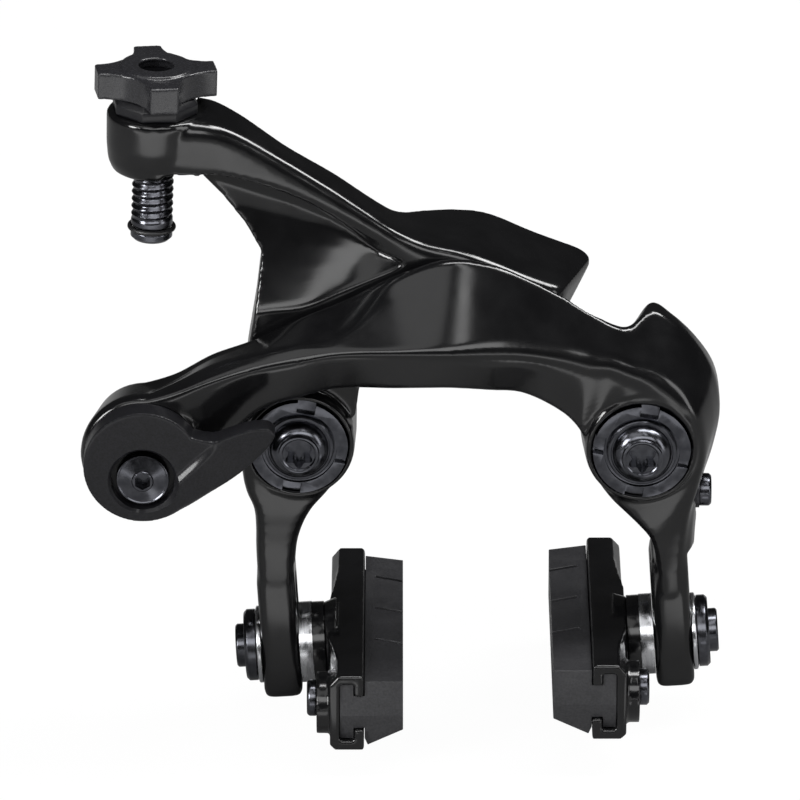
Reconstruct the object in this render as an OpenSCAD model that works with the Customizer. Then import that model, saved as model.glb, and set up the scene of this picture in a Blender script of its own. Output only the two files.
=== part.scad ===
// Dual pivot rim brake caliper for a direct mount frame or fork.
// X runs across the bicycle, +Y points into the frame, +Z is up.
// The origin is midway between the two mounting bolts, on the mounting face.

/* [Mounting] */
// Distance between the two mounting bolts
pivot_spacing = 56; // [55:0.25:57]
// Radius of the mounting bolt shank
bolt_r = 3; // [2.5:0.1:3]
// Length of bolt that stands out behind the mounting face
bolt_reach = 12; // [8:0.5:16]
// Gap between a bolt shank and the tube it runs through
bolt_gap = 0.1; // [0.05:0.05:0.2]
// Radius of the domed bolt head
bolt_head_r = 5.6; // [5.4:0.1:5.8]
// Size across the points of the six lobe socket
socket_w = 5.2; // [4.5:0.1:5.5]

/* [Pivots] */
// Outer radius of the pivot tube
tube_r = 5; // [4.5:0.1:5.1]
// Radius of the shoulder behind each arm
shoulder_r = 5.6; // [5.3:0.1:5.6]
// Wall of the pivot bush
bush_wall = 1; // [0.8:0.1:1.2]
// Running clearance of a bush on its tube
run_gap = 0.04; // [0.02:0.01:0.08]
// Outer radius of the notched ring nut
ring_r = 8; // [7.7:0.1:8]
// Thickness of the ring nut
ring_t = 2; // [1.6:0.1:2.4]
// Thickness of the bush flange under the ring nut
flange_t = 0.8; // [0.6:0.1:1]
// Thickness of the plate that ties the pivots together
plate_t = 2.5; // [2:0.1:2.6]
// Height of the middle of the plate above the bolts
plate_rise = 18; // [16:0.5:19]
// Width of the plate's arch
plate_w = 7; // [5:0.5:8]

/* [Return springs] */
// Radius of the spring wire
wire_r = 0.5; // [0.4:0.05:0.5]
// Radius of the middle of the coil
coil_r = 6.75; // [6.7:0.05:6.8]
// Step between turns
coil_step = 1.7; // [1.5:0.05:1.75]
// Number of turns
coil_turns = 3; // [2:1:3]

/* [Arms] */
// Drop from the bolts to the left shoe bolt
left_drop = 39.6; // [38:0.2:42]
// Drop from the bolts to the right shoe bolt
right_drop = 37.6; // [36:0.2:40]
// Plane between the front arm and the rear arm
cross_y = -18; // [-18.4:0.1:-17.6]
// Gap between the two arms where they cross
cross_gap = 0.6; // [0.5:0.1:1]
// Radius of the recess for a ring nut
recess_r = 8.2; // [8.1:0.05:8.3]
// Height of the link roller above the bolts
link_z = 25; // [24:0.25:25.5]
// Radius of the link roller
roller_r = 3; // [2.5:0.1:3.1]
// Radius of the link pin
link_pin_r = 1.8; // [1.5:0.1:2]
// Angle that each arm can close through
close_angle = 10; // [7:1:11]

/* [Cable end] */
// Distance of the lever pivot from the middle
lever_x = 53.2; // [52.5:0.1:54]
// Height of the lever pivot above the bolts
lever_z = 2.4; // [2:0.1:2.8]
// Radius of the round end of the lever
lever_r = 9.6; // [9.4:0.1:9.8]
// Radius of the lever's drum
drum_r = 6.6; // [6:0.1:6.8]
// Offset of the cable bolt from the lever pivot
lever_throw = 2.4; // [1.5:0.1:2.8]
// Radius of the cable bolt shank
anchor_r = 2.5; // [2:0.1:2.6]
// Radius of the cable bolt head
anchor_head_r = 4.3; // [4:0.1:4.6]
// Thickness of the lever
lever_t = 4.3; // [3.5:0.1:4.5]
// Radius of the brake cable
cable_r = 0.8; // [0.6:0.1:0.8]

/* [Cable adjuster] */
// Lean of the adjuster towards the middle, in degrees
adjuster_lean = 2.2; // [0:0.2:3]
// Outer radius of the threaded barrel
barrel_r = 3.4; // [3.2:0.1:3.5]
// Pitch of the barrel thread
barrel_pitch = 1.25; // [1:0.05:1.5]
// Radius of the socket for the cable housing
housing_r = 2.5; // [2.3:0.1:2.5]
// Reach of the barrel below its boss
barrel_drop = 11.8; // [11:0.2:13]
// Height of the boss that the barrel runs through
boss_h = 10.6; // [10:0.2:11]
// Radius of the boss
boss_r = 7.8; // [7.6:0.1:8.2]
// Radius of the knob over its lobes
knob_r = 10; // [9.4:0.2:10.6]
// Height of the knob
knob_h = 4.5; // [4:0.1:5]
// Thickness of the sealing ring on the barrel
seal_wire = 0.8; // [0.6:0.1:0.9]

/* [Shoes] */
// Length of a shoe
shoe_l = 52.2; // [50:0.2:56]
// Height of a shoe
shoe_h = 13.2; // [12.5:0.1:13.6]
// Distance from the back of the shoe to the rim face
shoe_w = 12; // [11:0.25:13]
// Radius of the shoe bolt shank
shoe_bolt_r = 2.5; // [2.3:0.1:2.6]
// Thickness of an arm where a shoe is bolted on
seat_t = 6.4; // [5.8:0.1:6.8]
// Travel of a shoe bolt in its slot
slot_travel = 9; // [6:0.5:9]
// Tilt of the left shoe bolt
left_tilt = 3.5; // [2:0.5:5]
// Tilt of the right shoe bolt
right_tilt = 3.9; // [2:0.5:5]
// Angle that a shoe can toe in through, each way
toe_angle = 2; // [1:0.5:2]
// Number of water grooves in each pad
groove_count = 3; // [2:1:4]

/* [Hidden] */
$fn = 64;

// The photographed span of the bolts, which every outline below was drawn for
drawn_spacing = 56;
span_k = pivot_spacing / drawn_spacing;
pivot_x = pivot_spacing / 2;
fit_gap = 0.1;

// Depths, all measured from the mounting face
boss_back_y = -3.3;
arch_back_y = cross_y - cross_gap / 2;
web_front_y = cross_y + cross_gap / 2;
web_back_y = -9.7;
leg_front_y = -17.7;
leg_back_y = -5.3;
leg_mid_y = (leg_front_y + leg_back_y) / 2;
left_face_y = -20.6;
right_face_y = -22.4;
shoulder_y = -10.7;
pocket_y = -10.9;
pocket_r = 8.1;
left_seat_x = -31.2 * span_k;
right_seat_x = 33.8 * span_k;

black = [0.06, 0.06, 0.065];
graphite = [0.2, 0.2, 0.22];
steel = [0.6, 0.6, 0.62];
dark_steel = [0.25, 0.25, 0.27];
rubber = [0.13, 0.13, 0.14];

function unit(v) = v / max(norm(v), 1e-6);
function mix(a, b, t) = a + (b - a) * t;

// Curve through a list of equal vectors, with steps pieces between neighbours
function curve_at(p, i, t) =
  let (a = p[max(i - 1, 0)], b = p[i], c = p[i + 1], d = p[min(i + 2, len(p) - 1)])
  0.5 * (2 * b + (c - a) * t + (2 * a - 5 * b + 4 * c - d) * t * t
    + (3 * b - 3 * c + d - a) * t * t * t);
function curve(p, steps) =
  concat([for (i = [0:len(p) - 2], k = [0:steps - 1]) curve_at(p, i, k / steps)], [p[len(p) - 1]]);

// Closed loop of corners, each rounded by its own radius with three points
function rounded(corners, radii) =
  let (n = len(corners))
  [for (i = [0:n - 1])
    let (p = corners[i], a = corners[(i + n - 1) % n] - p, b = corners[(i + 1) % n] - p)
    let (ra = min(radii[i], 0.45 * norm(a)), rb = min(radii[i], 0.45 * norm(b)))
    let (s = p + ra * unit(a), e = p + rb * unit(b))
    each [s, (s + 2 * p + e) / 4, e]];

// Solid skin over a list of equal closed loops
module skin(loops) {
  n = len(loops[0]);
  last = len(loops) - 1;
  points = [for (loop = loops) each loop];
  sides = [for (j = [0:last - 1], i = [0:n - 1])
    let (a = j * n + i, b = j * n + (i + 1) % n)
    each [[a, b, a + n], [b, b + n, a + n]]];
  first_cap = [for (i = [1:n - 2]) [0, i + 1, i]];
  last_cap = [for (i = [1:n - 2]) [last * n, last * n + i, last * n + i + 1]];
  polyhedron(points, concat(sides, first_cap, last_cap));
}

// Round bar along +Y from y0 to y1
module bar_y(r, y0, y1) {
  translate([0, y1, 0]) rotate([90, 0, 0]) cylinder(r = r, h = y1 - y0);
}

// Outline in the XZ plane, drawn with Z up, made thick from y0 to y1
module slab_y(y0, y1) {
  translate([0, y1, 0]) rotate([90, 0, 0]) linear_extrude(y1 - y0) children();
}

// Profile of radius against depth, turned about the Y axis
module turned_y(points) {
  rotate([90, 0, 0]) rotate_extrude() polygon([for (p = points) [p[0], -p[1]]]);
}

// Profile of radius against distance, turned about the X axis
module turned_x(points) {
  rotate([0, 90, 0]) rotate_extrude() polygon(points);
}

module at_left_pivot() { translate([-pivot_x, 0, 0]) children(); }
module at_right_pivot() { translate([pivot_x, 0, 0]) children(); }
module at_lever() { translate([-lever_x * span_k, 0, lever_z]) children(); }

// Six lobe star for a driver
module star(w) {
  lobe_r = w * 0.13;
  union() {
    circle(r = w * 0.38);
    for (a = [0:60:300]) rotate(a) translate([w / 2 - lobe_r, 0]) circle(r = lobe_r, $fn = 24);
    for (a = [0:60:300]) rotate(a) translate([0, -lobe_r]) square([w / 2 - lobe_r, 2 * lobe_r]);
  }
}

module hexagon(across_flats) {
  circle(r = across_flats / sqrt(3), $fn = 6);
}

// Pivot hardware
ring_proud = 0.4;
ring_land = 0.5;
ring_land_r = 6.15;
head_flange = 0.6;
bolt_waist = 0.3;
socket_h = 2.6;
head_h = 3.4;
notch_w = 3;
notch_turn = -10;
bush_r = tube_r + run_gap + bush_wall;
leg_hole_r = wire_r + fit_gap;

function ring_front(face) = face - ring_proud;
function ring_back(face) = ring_front(face) + ring_t;
function recess_floor(face) = ring_back(face) + flange_t;
function tube_end(face) = ring_front(face) + ring_land;

// Arch between the two pivots, as a band of even width
module plate_arch() {
  angles = [0:5:180];
  outer = [for (a = angles) [(pivot_x + plate_w / 2) * cos(a), (plate_rise + plate_w / 2) * sin(a)]];
  inner = [for (a = angles) [(pivot_x - plate_w / 2) * cos(180 - a), (plate_rise - plate_w / 2) * sin(a)]];
  polygon(concat(outer, inner));
}

module back_plate() {
  color(graphite) difference() {
    union() {
      slab_y(-plate_t, 0) plate_arch();
      for (side = [-1, 1]) translate([side * pivot_x, 0, 0]) bar_y(pocket_r + 0.8, -plate_t, 0);
    }
    for (side = [-1, 1]) translate([side * pivot_x, 0, 0]) {
      bar_y(bolt_r + bolt_gap, -plate_t - 1, 1);
      rotate([0, spring_foot(side), 0]) translate([coil_r, 0, 0]) bar_y(leg_hole_r, -plate_t - 1, 1);
    }
  }
}

module pivot_tube(face) {
  difference() {
    union() {
      bar_y(tube_r, tube_end(face), -plate_t);
      bar_y(shoulder_r, shoulder_y, -plate_t);
    }
    bar_y(bolt_r + bolt_gap, tube_end(face) - 1, 0);
  }
}

module pivot_tubes() {
  color(dark_steel) {
    at_left_pivot() pivot_tube(left_face_y);
    at_right_pivot() pivot_tube(right_face_y);
  }
}

module ring_nut(face) {
  front = ring_front(face);
  difference() {
    bar_y(ring_r, front, ring_back(face));
    bar_y(tube_r, front - 1, ring_back(face) + 1);
    bar_y(ring_land_r, front - 1, front + ring_land + fit_gap);
    for (a = [0:90:270]) rotate([0, a - notch_turn, 0])
      translate([ring_land_r, front - 1, -notch_w / 2]) cube([ring_r, 1 + ring_t * 0.6, notch_w]);
  }
}

module ring_nuts() {
  color(graphite) {
    at_left_pivot() ring_nut(left_face_y);
    at_right_pivot() ring_nut(right_face_y);
  }
}

module mounting_bolt(face) {
  seat = tube_end(face);
  front = seat - head_h;
  socket_r = socket_w / 2 + 0.7;
  difference() {
    union() {
      turned_y([
        [0, seat], [bolt_head_r, seat], [bolt_head_r, seat - head_flange],
        [bolt_head_r - 0.6, seat - head_flange - 0.2], [bolt_head_r - 1, seat - head_flange - 1],
        [bolt_head_r - 1.5, front + 0.9], [socket_r, front + 0.5], [socket_r, front + 0.2],
        [socket_r - 0.2, front], [0, front],
      ]);
      bar_y(bolt_r - bolt_waist, seat, 0);
      bar_y(bolt_r, 0, bolt_reach);
    }
    slab_y(front - 1, front + socket_h) star(socket_w);
  }
}

module mounting_bolts() {
  color(dark_steel) {
    at_left_pivot() mounting_bolt(left_face_y);
    at_right_pivot() mounting_bolt(right_face_y);
  }
}

module pivot_bush(face) {
  difference() {
    union() {
      bar_y(bush_r, ring_back(face), shoulder_y);
      bar_y(ring_r - 0.3, ring_back(face), recess_floor(face));
    }
    bar_y(tube_r + run_gap, ring_back(face) - 1, shoulder_y + 1);
  }
}

module left_bush() {
  color(steel) at_left_pivot() pivot_bush(left_face_y);
}

module right_bush() {
  color(steel) at_right_pivot() pivot_bush(right_face_y);
}

// Holes and recesses of an arm at its pivot
module pivot_cuts(face, side) {
  bar_y(bush_r, face - 6, 0);
  bar_y(recess_r, face - 6, recess_floor(face));
  bar_y(pocket_r, pocket_y, 0);
  rotate([0, spring_head(side), 0]) translate([coil_r, 0, 0]) bar_y(leg_hole_r, pocket_y - 2.2, 0);
}

// Return spring, wound round the pivot with one leg in the plate and one in the arm
coil_start = -4.6;
rings_per_turn = 8;
leg_turn = 20;
function spring_foot(side) = side > 0 ? 100 : 80;
function spring_head(side) = spring_foot(side) + side * (360 * coil_turns + 2 * leg_turn);
function spring_path(side) =
  let (foot = spring_foot(side), n = coil_turns * rings_per_turn, low = coil_start - coil_turns * coil_step)
  concat(
    [[foot, -0.9], [foot, -2.4], [foot, -3.7], [foot + side * 4, coil_start + 0.25]],
    [for (i = [0:n])
      [foot + side * (leg_turn + 360 * i / rings_per_turn), coil_start - i * coil_step / rings_per_turn]],
    [[spring_head(side) - side * 4, low - 0.25], [spring_head(side), low - 0.9]],
    [[spring_head(side), pocket_y - 2]]);
function on_coil(p) = [coil_r * cos(p[0]), p[1], -coil_r * sin(p[0])];
function ring_about(path, i, r, sides) =
  let (p = path[i], along = unit(path[min(i + 1, len(path) - 1)] - path[max(i - 1, 0)]))
  let (out = unit([p[0], 0, p[2]] - ([p[0], 0, p[2]] * along) * along), across = cross(along, out))
  [for (k = [0:sides - 1]) p + r * (cos(360 * k / sides) * out + sin(360 * k / sides) * across)];

module return_spring(side) {
  path = [for (p = spring_path(side)) on_coil(p)];
  skin([for (i = [0:len(path) - 1]) ring_about(path, i, wire_r, 6)]);
  n = len(path);
  gaps = [for (i = [0:n - 6], k = [i + 5:n - 1]) norm(path[i] - path[k]) - 2 * wire_r];
  echo(side = side, spring_least_gap = min(gaps));
}

module left_spring() {
  color(steel) at_left_pivot() return_spring(-1);
}

module right_spring() {
  color(steel) at_right_pivot() return_spring(1);
}

// Flat seat for a shoe at the foot of an arm, in the frame of its shoe bolt
seat_r = 6.2;
seat_rise = 14.5;
seat_low = 7.4;
flat_r = 7.3;
flat_depth = 5;
ball_r = 12;
washer_t = 2.2;
washer_r = 6.7;
ball_x = seat_t / 2 + washer_t + sqrt(ball_r * ball_r - washer_r * washer_r);
slot_r = shoe_bolt_r + (ball_x + seat_t / 2) * sin(toe_angle) + fit_gap;

module at_left_seat() {
  translate([left_seat_x, leg_mid_y, -left_drop]) rotate([0, -left_tilt, 0]) children();
}
module at_right_seat() {
  translate([right_seat_x, leg_mid_y, -right_drop]) rotate([0, -right_tilt, 0]) mirror([1, 0, 0]) children();
}

// Stadium in the YZ plane with one centre at the bolt and one above it, made thick along X
module stadium(r, rise, x0, x1) {
  translate([x0, 0, 0]) rotate([90, 0, 90]) linear_extrude(x1 - x0) union() {
    circle(r = r);
    translate([0, rise]) circle(r = r);
    translate([-r, 0]) square([2 * r, rise]);
  }
}

module seat_block() {
  corner = 2.4;
  edge = 1.3;
  intersection() {
    translate([-seat_t / 2, 0, 0]) rotate([90, 0, 90]) linear_extrude(seat_t) union() {
      for (side = [-1, 1]) translate([side * (seat_r - corner), corner - seat_low]) circle(r = corner);
      translate([-seat_r, corner - seat_low]) square([2 * seat_r, seat_rise + seat_low - corner]);
      translate([corner - seat_r, -seat_low]) square([2 * (seat_r - corner), corner]);
    }
    slab_y(-seat_r - 1, seat_r + 1) union() {
      for (side = [-1, 1]) translate([side * (seat_t / 2 - edge), edge - seat_low]) circle(r = edge);
      translate([-seat_t / 2, edge - seat_low]) square([seat_t, seat_rise + seat_low]);
      translate([edge - seat_t / 2, -seat_low]) square([seat_t - 2 * edge, edge]);
    }
  }
}

// Room for the washers on both sides of a seat, over the whole travel of the bolt
module seat_flats() {
  for (x = [-seat_t / 2 - flat_depth, seat_t / 2])
    translate([x, -flat_r - 2, -flat_r - 2]) cube([flat_depth, 2 * flat_r + 4, slot_travel + 2 * flat_r + 2]);
}

module seat_slot() {
  stadium(slot_r, slot_travel, -seat_t, seat_t);
}

// Section across the front arm, from its inner edge over the ridge to its outer edge
function arm_section(inner, front, ridge, shoulder, outer, crest, back) =
  [for (p = rounded(
      [[inner[0], back, inner[1]], [inner[0], front, inner[1]], ridge, shoulder,
        [outer[0], crest, outer[1]], [outer[0], back, outer[1]]],
      [1.4, 1.3, 0.5, 0.8, 1.2, 1.2]))
    [p[0] * span_k, p[1], p[2]]];

right_sections = [
  arm_section([-50, -6.6], -30, [-53.4, -30, 12.2], [-53.4, -28, 12.2], [-53.5, 10.8], -25, arch_back_y),
  arm_section([-46.6, -3.2], -30, [-48.5, -30, 13.7], [-48.3, -27, 14.1], [-48, 12.6], -22.4, arch_back_y),
  arm_section([-41, 3.5], -30, [-42, -30, 16.6], [-42, -27, 17.2], [-42, 16], -21, arch_back_y),
  arm_section([-34.8, 9.4], -29.2, [-35.7, -30, 18.5], [-35.6, -27.5, 19.4], [-35.5, 18.4], -20, arch_back_y),
  arm_section([-27.9, 12], -29, [-28.5, -30, 19.6], [-28.3, -28, 21], [-28, 22.2], -20, arch_back_y),
  arm_section([-21.4, 13.6], -28.8, [-21.5, -30.1, 20.2], [-21.3, -28, 22.2], [-21, 25.2], -19.8,
    arch_back_y),
  arm_section([-12.2, 13.5], -28.6, [-12.3, -30.2, 20.5], [-12.3, -23.4, 27], [-12.2, 29.8], -19.6,
    arch_back_y),
  arm_section([-3.8, 13.4], -28.2, [-4, -30.3, 20.4], [-4, -21.6, 30.6], [-4, 32.2], -19.4, arch_back_y),
  arm_section([3, 12.4], -26.8, [3, -29.3, 20], [3.2, -21.2, 29.7], [3.4, 31.1], -19.4, arch_back_y),
  arm_section([8.6, 11.1], -25, [8.7, -27.9, 19.2], [9, -20.8, 27.4], [9.2, 28.7], -19.3, arch_back_y),
  arm_section([14.6, 7], -22.8, [15, -26.2, 17.9], [15.2, -20.3, 24.2], [15.3, 25.3], -19.2, arch_back_y),
  arm_section([17.8, 3.2], -21.9, [19.3, -25, 16.4], [19.8, -20.1, 21.5], [20, 22.5], -19, arch_back_y),
  arm_section([19, -0.6], -21.6, [23, -24, 14.4], [23.1, -20, 17.8], [23.4, 18.8], -18, -14.5),
  arm_section([20.1, -3.8], -21.4, [26.6, -23.3, 12], [26, -18.8, 15.9], [26, 17.3], -15.8, -11.5),
  arm_section([21.2, -6.7], -21.3, [29.2, -22.8, 10.2], [29.1, -18, 18.8], [29.5, 21.3], -14.8, -10),
  arm_section([23.2, -9.6], -21, [32, -22.5, 8.2], [32.5, -17.5, 17.8], [33, 19.7], -14, -9.7),
  arm_section([25.7, -12.3], -20.7, [34.6, -22.3, 5.3], [36.4, -17.2, 13.4], [37.1, 15.1], -13.5, -9),
  arm_section([27.9, -14.8], -20.3, [36.4, -21.9, 1.6], [39.1, -17, 8.3], [40.1, 9.8], -13.5, -8),
  arm_section([29.5, -17], -19.8, [37, -21.3, -2.6], [39.9, -17, 2.5], [41, 3.5], -13.5, -7),
  arm_section([30.3, -19.4], -19.2, [36.9, -20.3, -7.2], [38.9, -17, -3.2], [40, -2.6], -13.5, -6),
  arm_section([30.7, -22], -18.6, [35.8, -19.3, -13.6], [37.3, -17, -10], [38.1, -9.4], -13.5, -5.6),
  arm_section([30.8, -25], -18, [34.8, -18.4, -21], [36.5, -16.8, -18.4], [37.2, -17.6], -14, -5.4),
  arm_section([30.8, -28.5], -17.7, [34, -17.9, -28], [36.1, -17.3, -27.4], [36.9, -27], -15.5, leg_back_y),
];

// Round end of the front arm that carries the lever, thinner towards its back
end_front_y = -30;
end_r = 10.2;
end_back_r = 8.2;

// Holder of the centring screw on the outer side of the front arm
screw_y = -12;
screw_z = -11.4;
screw_face_x = 37.1 * span_k;
screw_boss_r = 3.2;
screw_flat_r = 3.7;

// Washer groove under the lever
wave_t = 0.6;
wave_r = 8.6;

// Forged hub round the right pivot, growing from its front face to its back
right_hub_r = 10.2;
right_hub_mid_r = 9.8;
right_hub_mid_y = -14;
right_hub_edge_r = 9.3;
hub_rounding = 0.3;

module right_arm() {
  color(black) difference() {
    union() {
      skin(curve(right_sections, 2));
      at_lever() turned_y([
        [0, end_front_y], [end_r - 0.5, end_front_y], [end_r, end_front_y + 0.5], [end_r, end_front_y + 2],
        [end_back_r, arch_back_y], [0, arch_back_y],
      ]);
      at_right_pivot() turned_y([
        [0, right_face_y], [right_hub_edge_r - hub_rounding, right_face_y],
        [right_hub_edge_r, right_face_y + 5 * hub_rounding], [right_hub_mid_r, right_hub_mid_y],
        [right_hub_r, boss_back_y], [0, boss_back_y],
      ]);
      at_right_seat() seat_block();
      translate([screw_face_x, screw_y, screw_z]) rotate([0, -90, 0]) cylinder(r = screw_boss_r, h = 4.5);
    }
    at_right_pivot() pivot_cuts(right_face_y, 1);
    at_right_seat() seat_slot();
    at_right_seat() seat_flats();
    at_lever() {
      bar_y(drum_r + run_gap, end_front_y - 1, 0);
      bar_y(wave_r + fit_gap, end_front_y - 1, end_front_y + wave_t);
    }
    translate([0, 0, link_z]) bar_y(link_pin_r, link_pin_front, 0);
    translate([screw_face_x + 1, screw_y, screw_z]) rotate([0, -90, 0])
      cylinder(r = centering_r + run_gap, h = 8.5);
    translate([screw_face_x, screw_y, screw_z]) rotate([0, 90, 0]) cylinder(r = screw_flat_r, h = 6);
  }
}

// Height of the adjuster's boss, and how the beam and web rise to it from the crossing
adjuster_top = 57.6;
beam_root_z = 34;
drawn_rise = 23.6;
rise_k = (adjuster_top - beam_root_z) / drawn_rise;
function lifted(z) = z > beam_root_z ? beam_root_z + (z - beam_root_z) * rise_k : z;

// Section across the beam of the rear arm. Each corner is X, Y and Z:
// the low and top front corners, the top and low back corners, a step, and the underside
function beam_section(low, top, back_top, back_low, step, under) =
  [for (p = rounded([low, top, back_top, back_low, step, under], [1.4, 1.2, 1, 1, 0.8, 0.8]))
    [p[0] * span_k, p[1], lifted(p[2])]];
function beam_slice(x, low, top, back_top, back_low, step, under) =
  beam_section([x, low[0], low[1]], [x, top[0], top[1]], [x, back_top[0], back_top[1]],
    [x, back_low[0], back_low[1]], [x, step[0], step[1]], [x, under[0], under[1]]);

left_sections = [
  beam_slice(-50, [-20.4, 48.2], [-20.4, 56.6], [-11.6, 57.4], [-11.6, 54.5], [-11.6, 51], [-12, 48.2]),
  beam_slice(-43.5, [-20.4, 46.9], [-20.3, 56.5], [-11.8, 58.3], [-11.8, 54.5], [-11.8, 51], [-12.3, 46.7]),
  beam_slice(-38, [-20.2, 45.7], [-19.9, 54.7], [-12, 55.9], [-12, 52.3], [-12, 48.4], [-12.4, 45]),
  beam_slice(-30, [-19.6, 43.2], [-19.3, 49.6], [-11.8, 49.9], [-11.8, 47.4], [-11.8, 44.8], [-12.2, 42]),
  beam_slice(-22.3, [-18.9, 38.8], [-18.9, 44.3], [-11, 44.8], [-11, 42], [-11, 39.4], [-11.4, 36.6]),
  beam_slice(-16, [-18.2, 34.6], [-18.5, 39.7], [-10.2, 40], [-10.2, 37], [-10.2, 34], [-10.4, 30.4]),
  beam_slice(-12, [web_front_y, 31], [-18.1, 36.9], [-7, 36.5], [-7, 32], [-7.5, 28.4], [-8.8, 25.4]),
  beam_slice(-7.5, [web_front_y, 24], [-17.9, 34.7], [-1.6, 34.4], [-1.6, 28], [-3.7, 25], [-5.2, 21]),
  beam_slice(-1.5, [web_front_y, 18.6], [-17.8, 33.1], [-0.2, 34], [-0.2, 26], [-3, 23.6], [-3.4, 18.6]),
  beam_slice(3.5, [web_front_y, 17.8], [-17.8, 31.1], [-0.2, 33.2], [-0.2, 25.5], [-3, 23], [-3.4, 17.8]),
  beam_section([9, web_front_y, 17.6], [9, -17.8, 28.7], [11, -0.2, 29.9], [10.8, -0.2, 24.4],
    [10.4, -3, 22.7], [10, -3.4, 17.6]),
  beam_section([14, web_front_y, 18.4], [14.9, -17.8, 26.3], [20.2, -0.2, 26], [17.8, -0.2, 22.6],
    [15.8, -3, 21], [14.4, -3.4, 18.4]),
];

function leg_section(z, x0, x1, front, back) =
  [for (p = rounded([[x0, back, z], [x0, front, z], [x1, front, z], [x1, back, z]], [2, 2, 2, 2]))
    [p[0] * span_k, p[1], p[2]]];

left_leg_sections = [
  leg_section(3, -37.2, -19, left_face_y, boss_back_y),
  leg_section(-3.9, -37.4, -20.3, left_face_y, boss_back_y),
  leg_section(-8.3, -36.8, -23.2, -20.2, boss_back_y),
  leg_section(-12, -35.5, -26, -19.6, -3.8),
  leg_section(-15.8, -35.2, -27.7, -18.9, -4.4),
  leg_section(-20, -35.2, -28.6, -18.3, -5),
  leg_section(-27, -34.9, -28.9, leg_front_y, leg_back_y),
];

web_outline = [
  [-37.3, 2], [-36.9, 10], [-36.2, 16.3], [-34.9, 24.3], [-34, 31.9], [-36.6, 36.4], [-39.9, 40.6],
  [-43.6, 44.6], [-47, 49], [-36, 50], [-22, 42], [-8, 32], [-6, 18], [-12, 13.2], [-18, 10], [-18.8, 4],
];
ledge_outline = [
  [-37.3, 2], [-36.9, 11], [-36.2, 16.3], [-35.3, 20], [-34, 21.2], [-22, 26.2], [-13, 31], [-5, 31], [0, 30],
  [0, 18], [-8, 16.5], [-14, 13.5], [-18, 10.5], [-18.8, 5],
];
web_floor_y = -13.2;

// Slot that the link roller runs in, from rest to closed
slot_half = roller_r + 0.12;
slot_steps = 10;
slot_floor_y = -10.4;
function slot_centre(t) =
  [2 * pivot_x * cos(t) - pivot_x * cos(2 * t) + link_z * sin(2 * t) - pivot_x,
    -2 * pivot_x * sin(t) + pivot_x * sin(2 * t) + link_z * cos(2 * t)];
module link_slot() {
  path = [for (i = [0:slot_steps]) slot_centre(i * close_angle / slot_steps)];
  last = slot_steps;
  side = [for (i = [0:last])
    let (along = unit(path[min(i + 1, last)] - path[max(i - 1, 0)]))
    slot_half * [-along[1], along[0]]];
  slab_y(web_front_y - 2, slot_floor_y) union() {
    translate(path[0]) circle(r = slot_half);
    translate(path[last]) circle(r = slot_half);
    polygon(concat(path + side, [for (i = [last:-1:0]) path[i] - side[i]]));
  }
}

// Cable adjuster, in the frame of its own leaning axis with zero at the top of the boss
adjuster_x = -51 * span_k;
adjuster_y = -16;
module at_adjuster() {
  translate([adjuster_x, adjuster_y, adjuster_top]) rotate([0, adjuster_lean, 0]) children();
}
nut_h = 5.8;
nut_flange_r = 7.1;
nut_neck_r = 4.9;
collar_h = 2.7;
nut_spigot_h = 1.2;
nut_spigot_r = 5.2;
hub_r = 5.8;
hub_h = 0.5;
barrel_top = 1.9;
barrel_travel = 5;
key_r = 0.8;
key_z = -5;

left_hub_r = 9.4;
left_hub_full_y = -12;

module left_arm() {
  color(black) difference() {
    union() {
      skin(curve(left_sections, 2));
      skin(curve(left_leg_sections, 2));
      at_left_pivot() turned_y([
        [0, left_face_y], [left_hub_r - 0.5, left_face_y], [left_hub_r - hub_rounding, left_face_y + 1],
        [left_hub_r, left_hub_full_y], [left_hub_r, boss_back_y], [0, boss_back_y],
      ]);
      slab_y(web_floor_y, web_back_y) polygon([for (p = web_outline) [p[0] * span_k, lifted(p[1])]]);
      slab_y(web_front_y, web_back_y) polygon([for (p = ledge_outline) [p[0] * span_k, p[1]]]);
      at_adjuster() rotate_extrude() polygon([
        [0, -boss_h], [boss_r - 2.4, -boss_h], [boss_r - 1.1, -boss_h + 0.6], [boss_r - 0.4, -boss_h + 2.2],
        [boss_r - 0.1, -boss_h + 5], [boss_r, -0.5], [boss_r - 0.4, 0], [0, 0],
      ]);
      at_left_seat() seat_block();
    }
    at_left_pivot() pivot_cuts(left_face_y, -1);
    at_left_seat() seat_slot();
    at_left_seat() seat_flats();
    link_slot();
    at_adjuster() {
      translate([0, 0, -boss_h - 1]) cylinder(r = barrel_r + run_gap, h = boss_h + 2);
      translate([0, 0, -nut_spigot_h - fit_gap]) cylinder(r = nut_spigot_r + run_gap, h = 2);
      cylinder(r = nut_flange_r + 0.6, h = nut_h);
      translate([0, boss_r + 2, key_z]) rotate([90, 0, 0]) cylinder(r = key_r, h = boss_r + 2);
    }
  }
}

module adjuster_key() {
  color(steel) at_adjuster() translate([0, boss_r - 0.6, key_z]) rotate([90, 0, 0])
    cylinder(r = key_r, h = boss_r - 0.6 - barrel_r + 0.6);
}

// Knob with four lobes and hollow sides
flank_r = 7.2;
flank_gap = 13.4;
module knob_outline() {
  rotate(10) difference() {
    intersection() {
      square(2 * knob_r - 0.6, center = true);
      circle(r = knob_r + 0.02);
      rotate(45) square(2 * knob_r - 2.6, center = true);
    }
    for (a = [45:90:315]) rotate(a) translate([flank_gap, 0]) circle(r = flank_r);
  }
}

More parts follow.
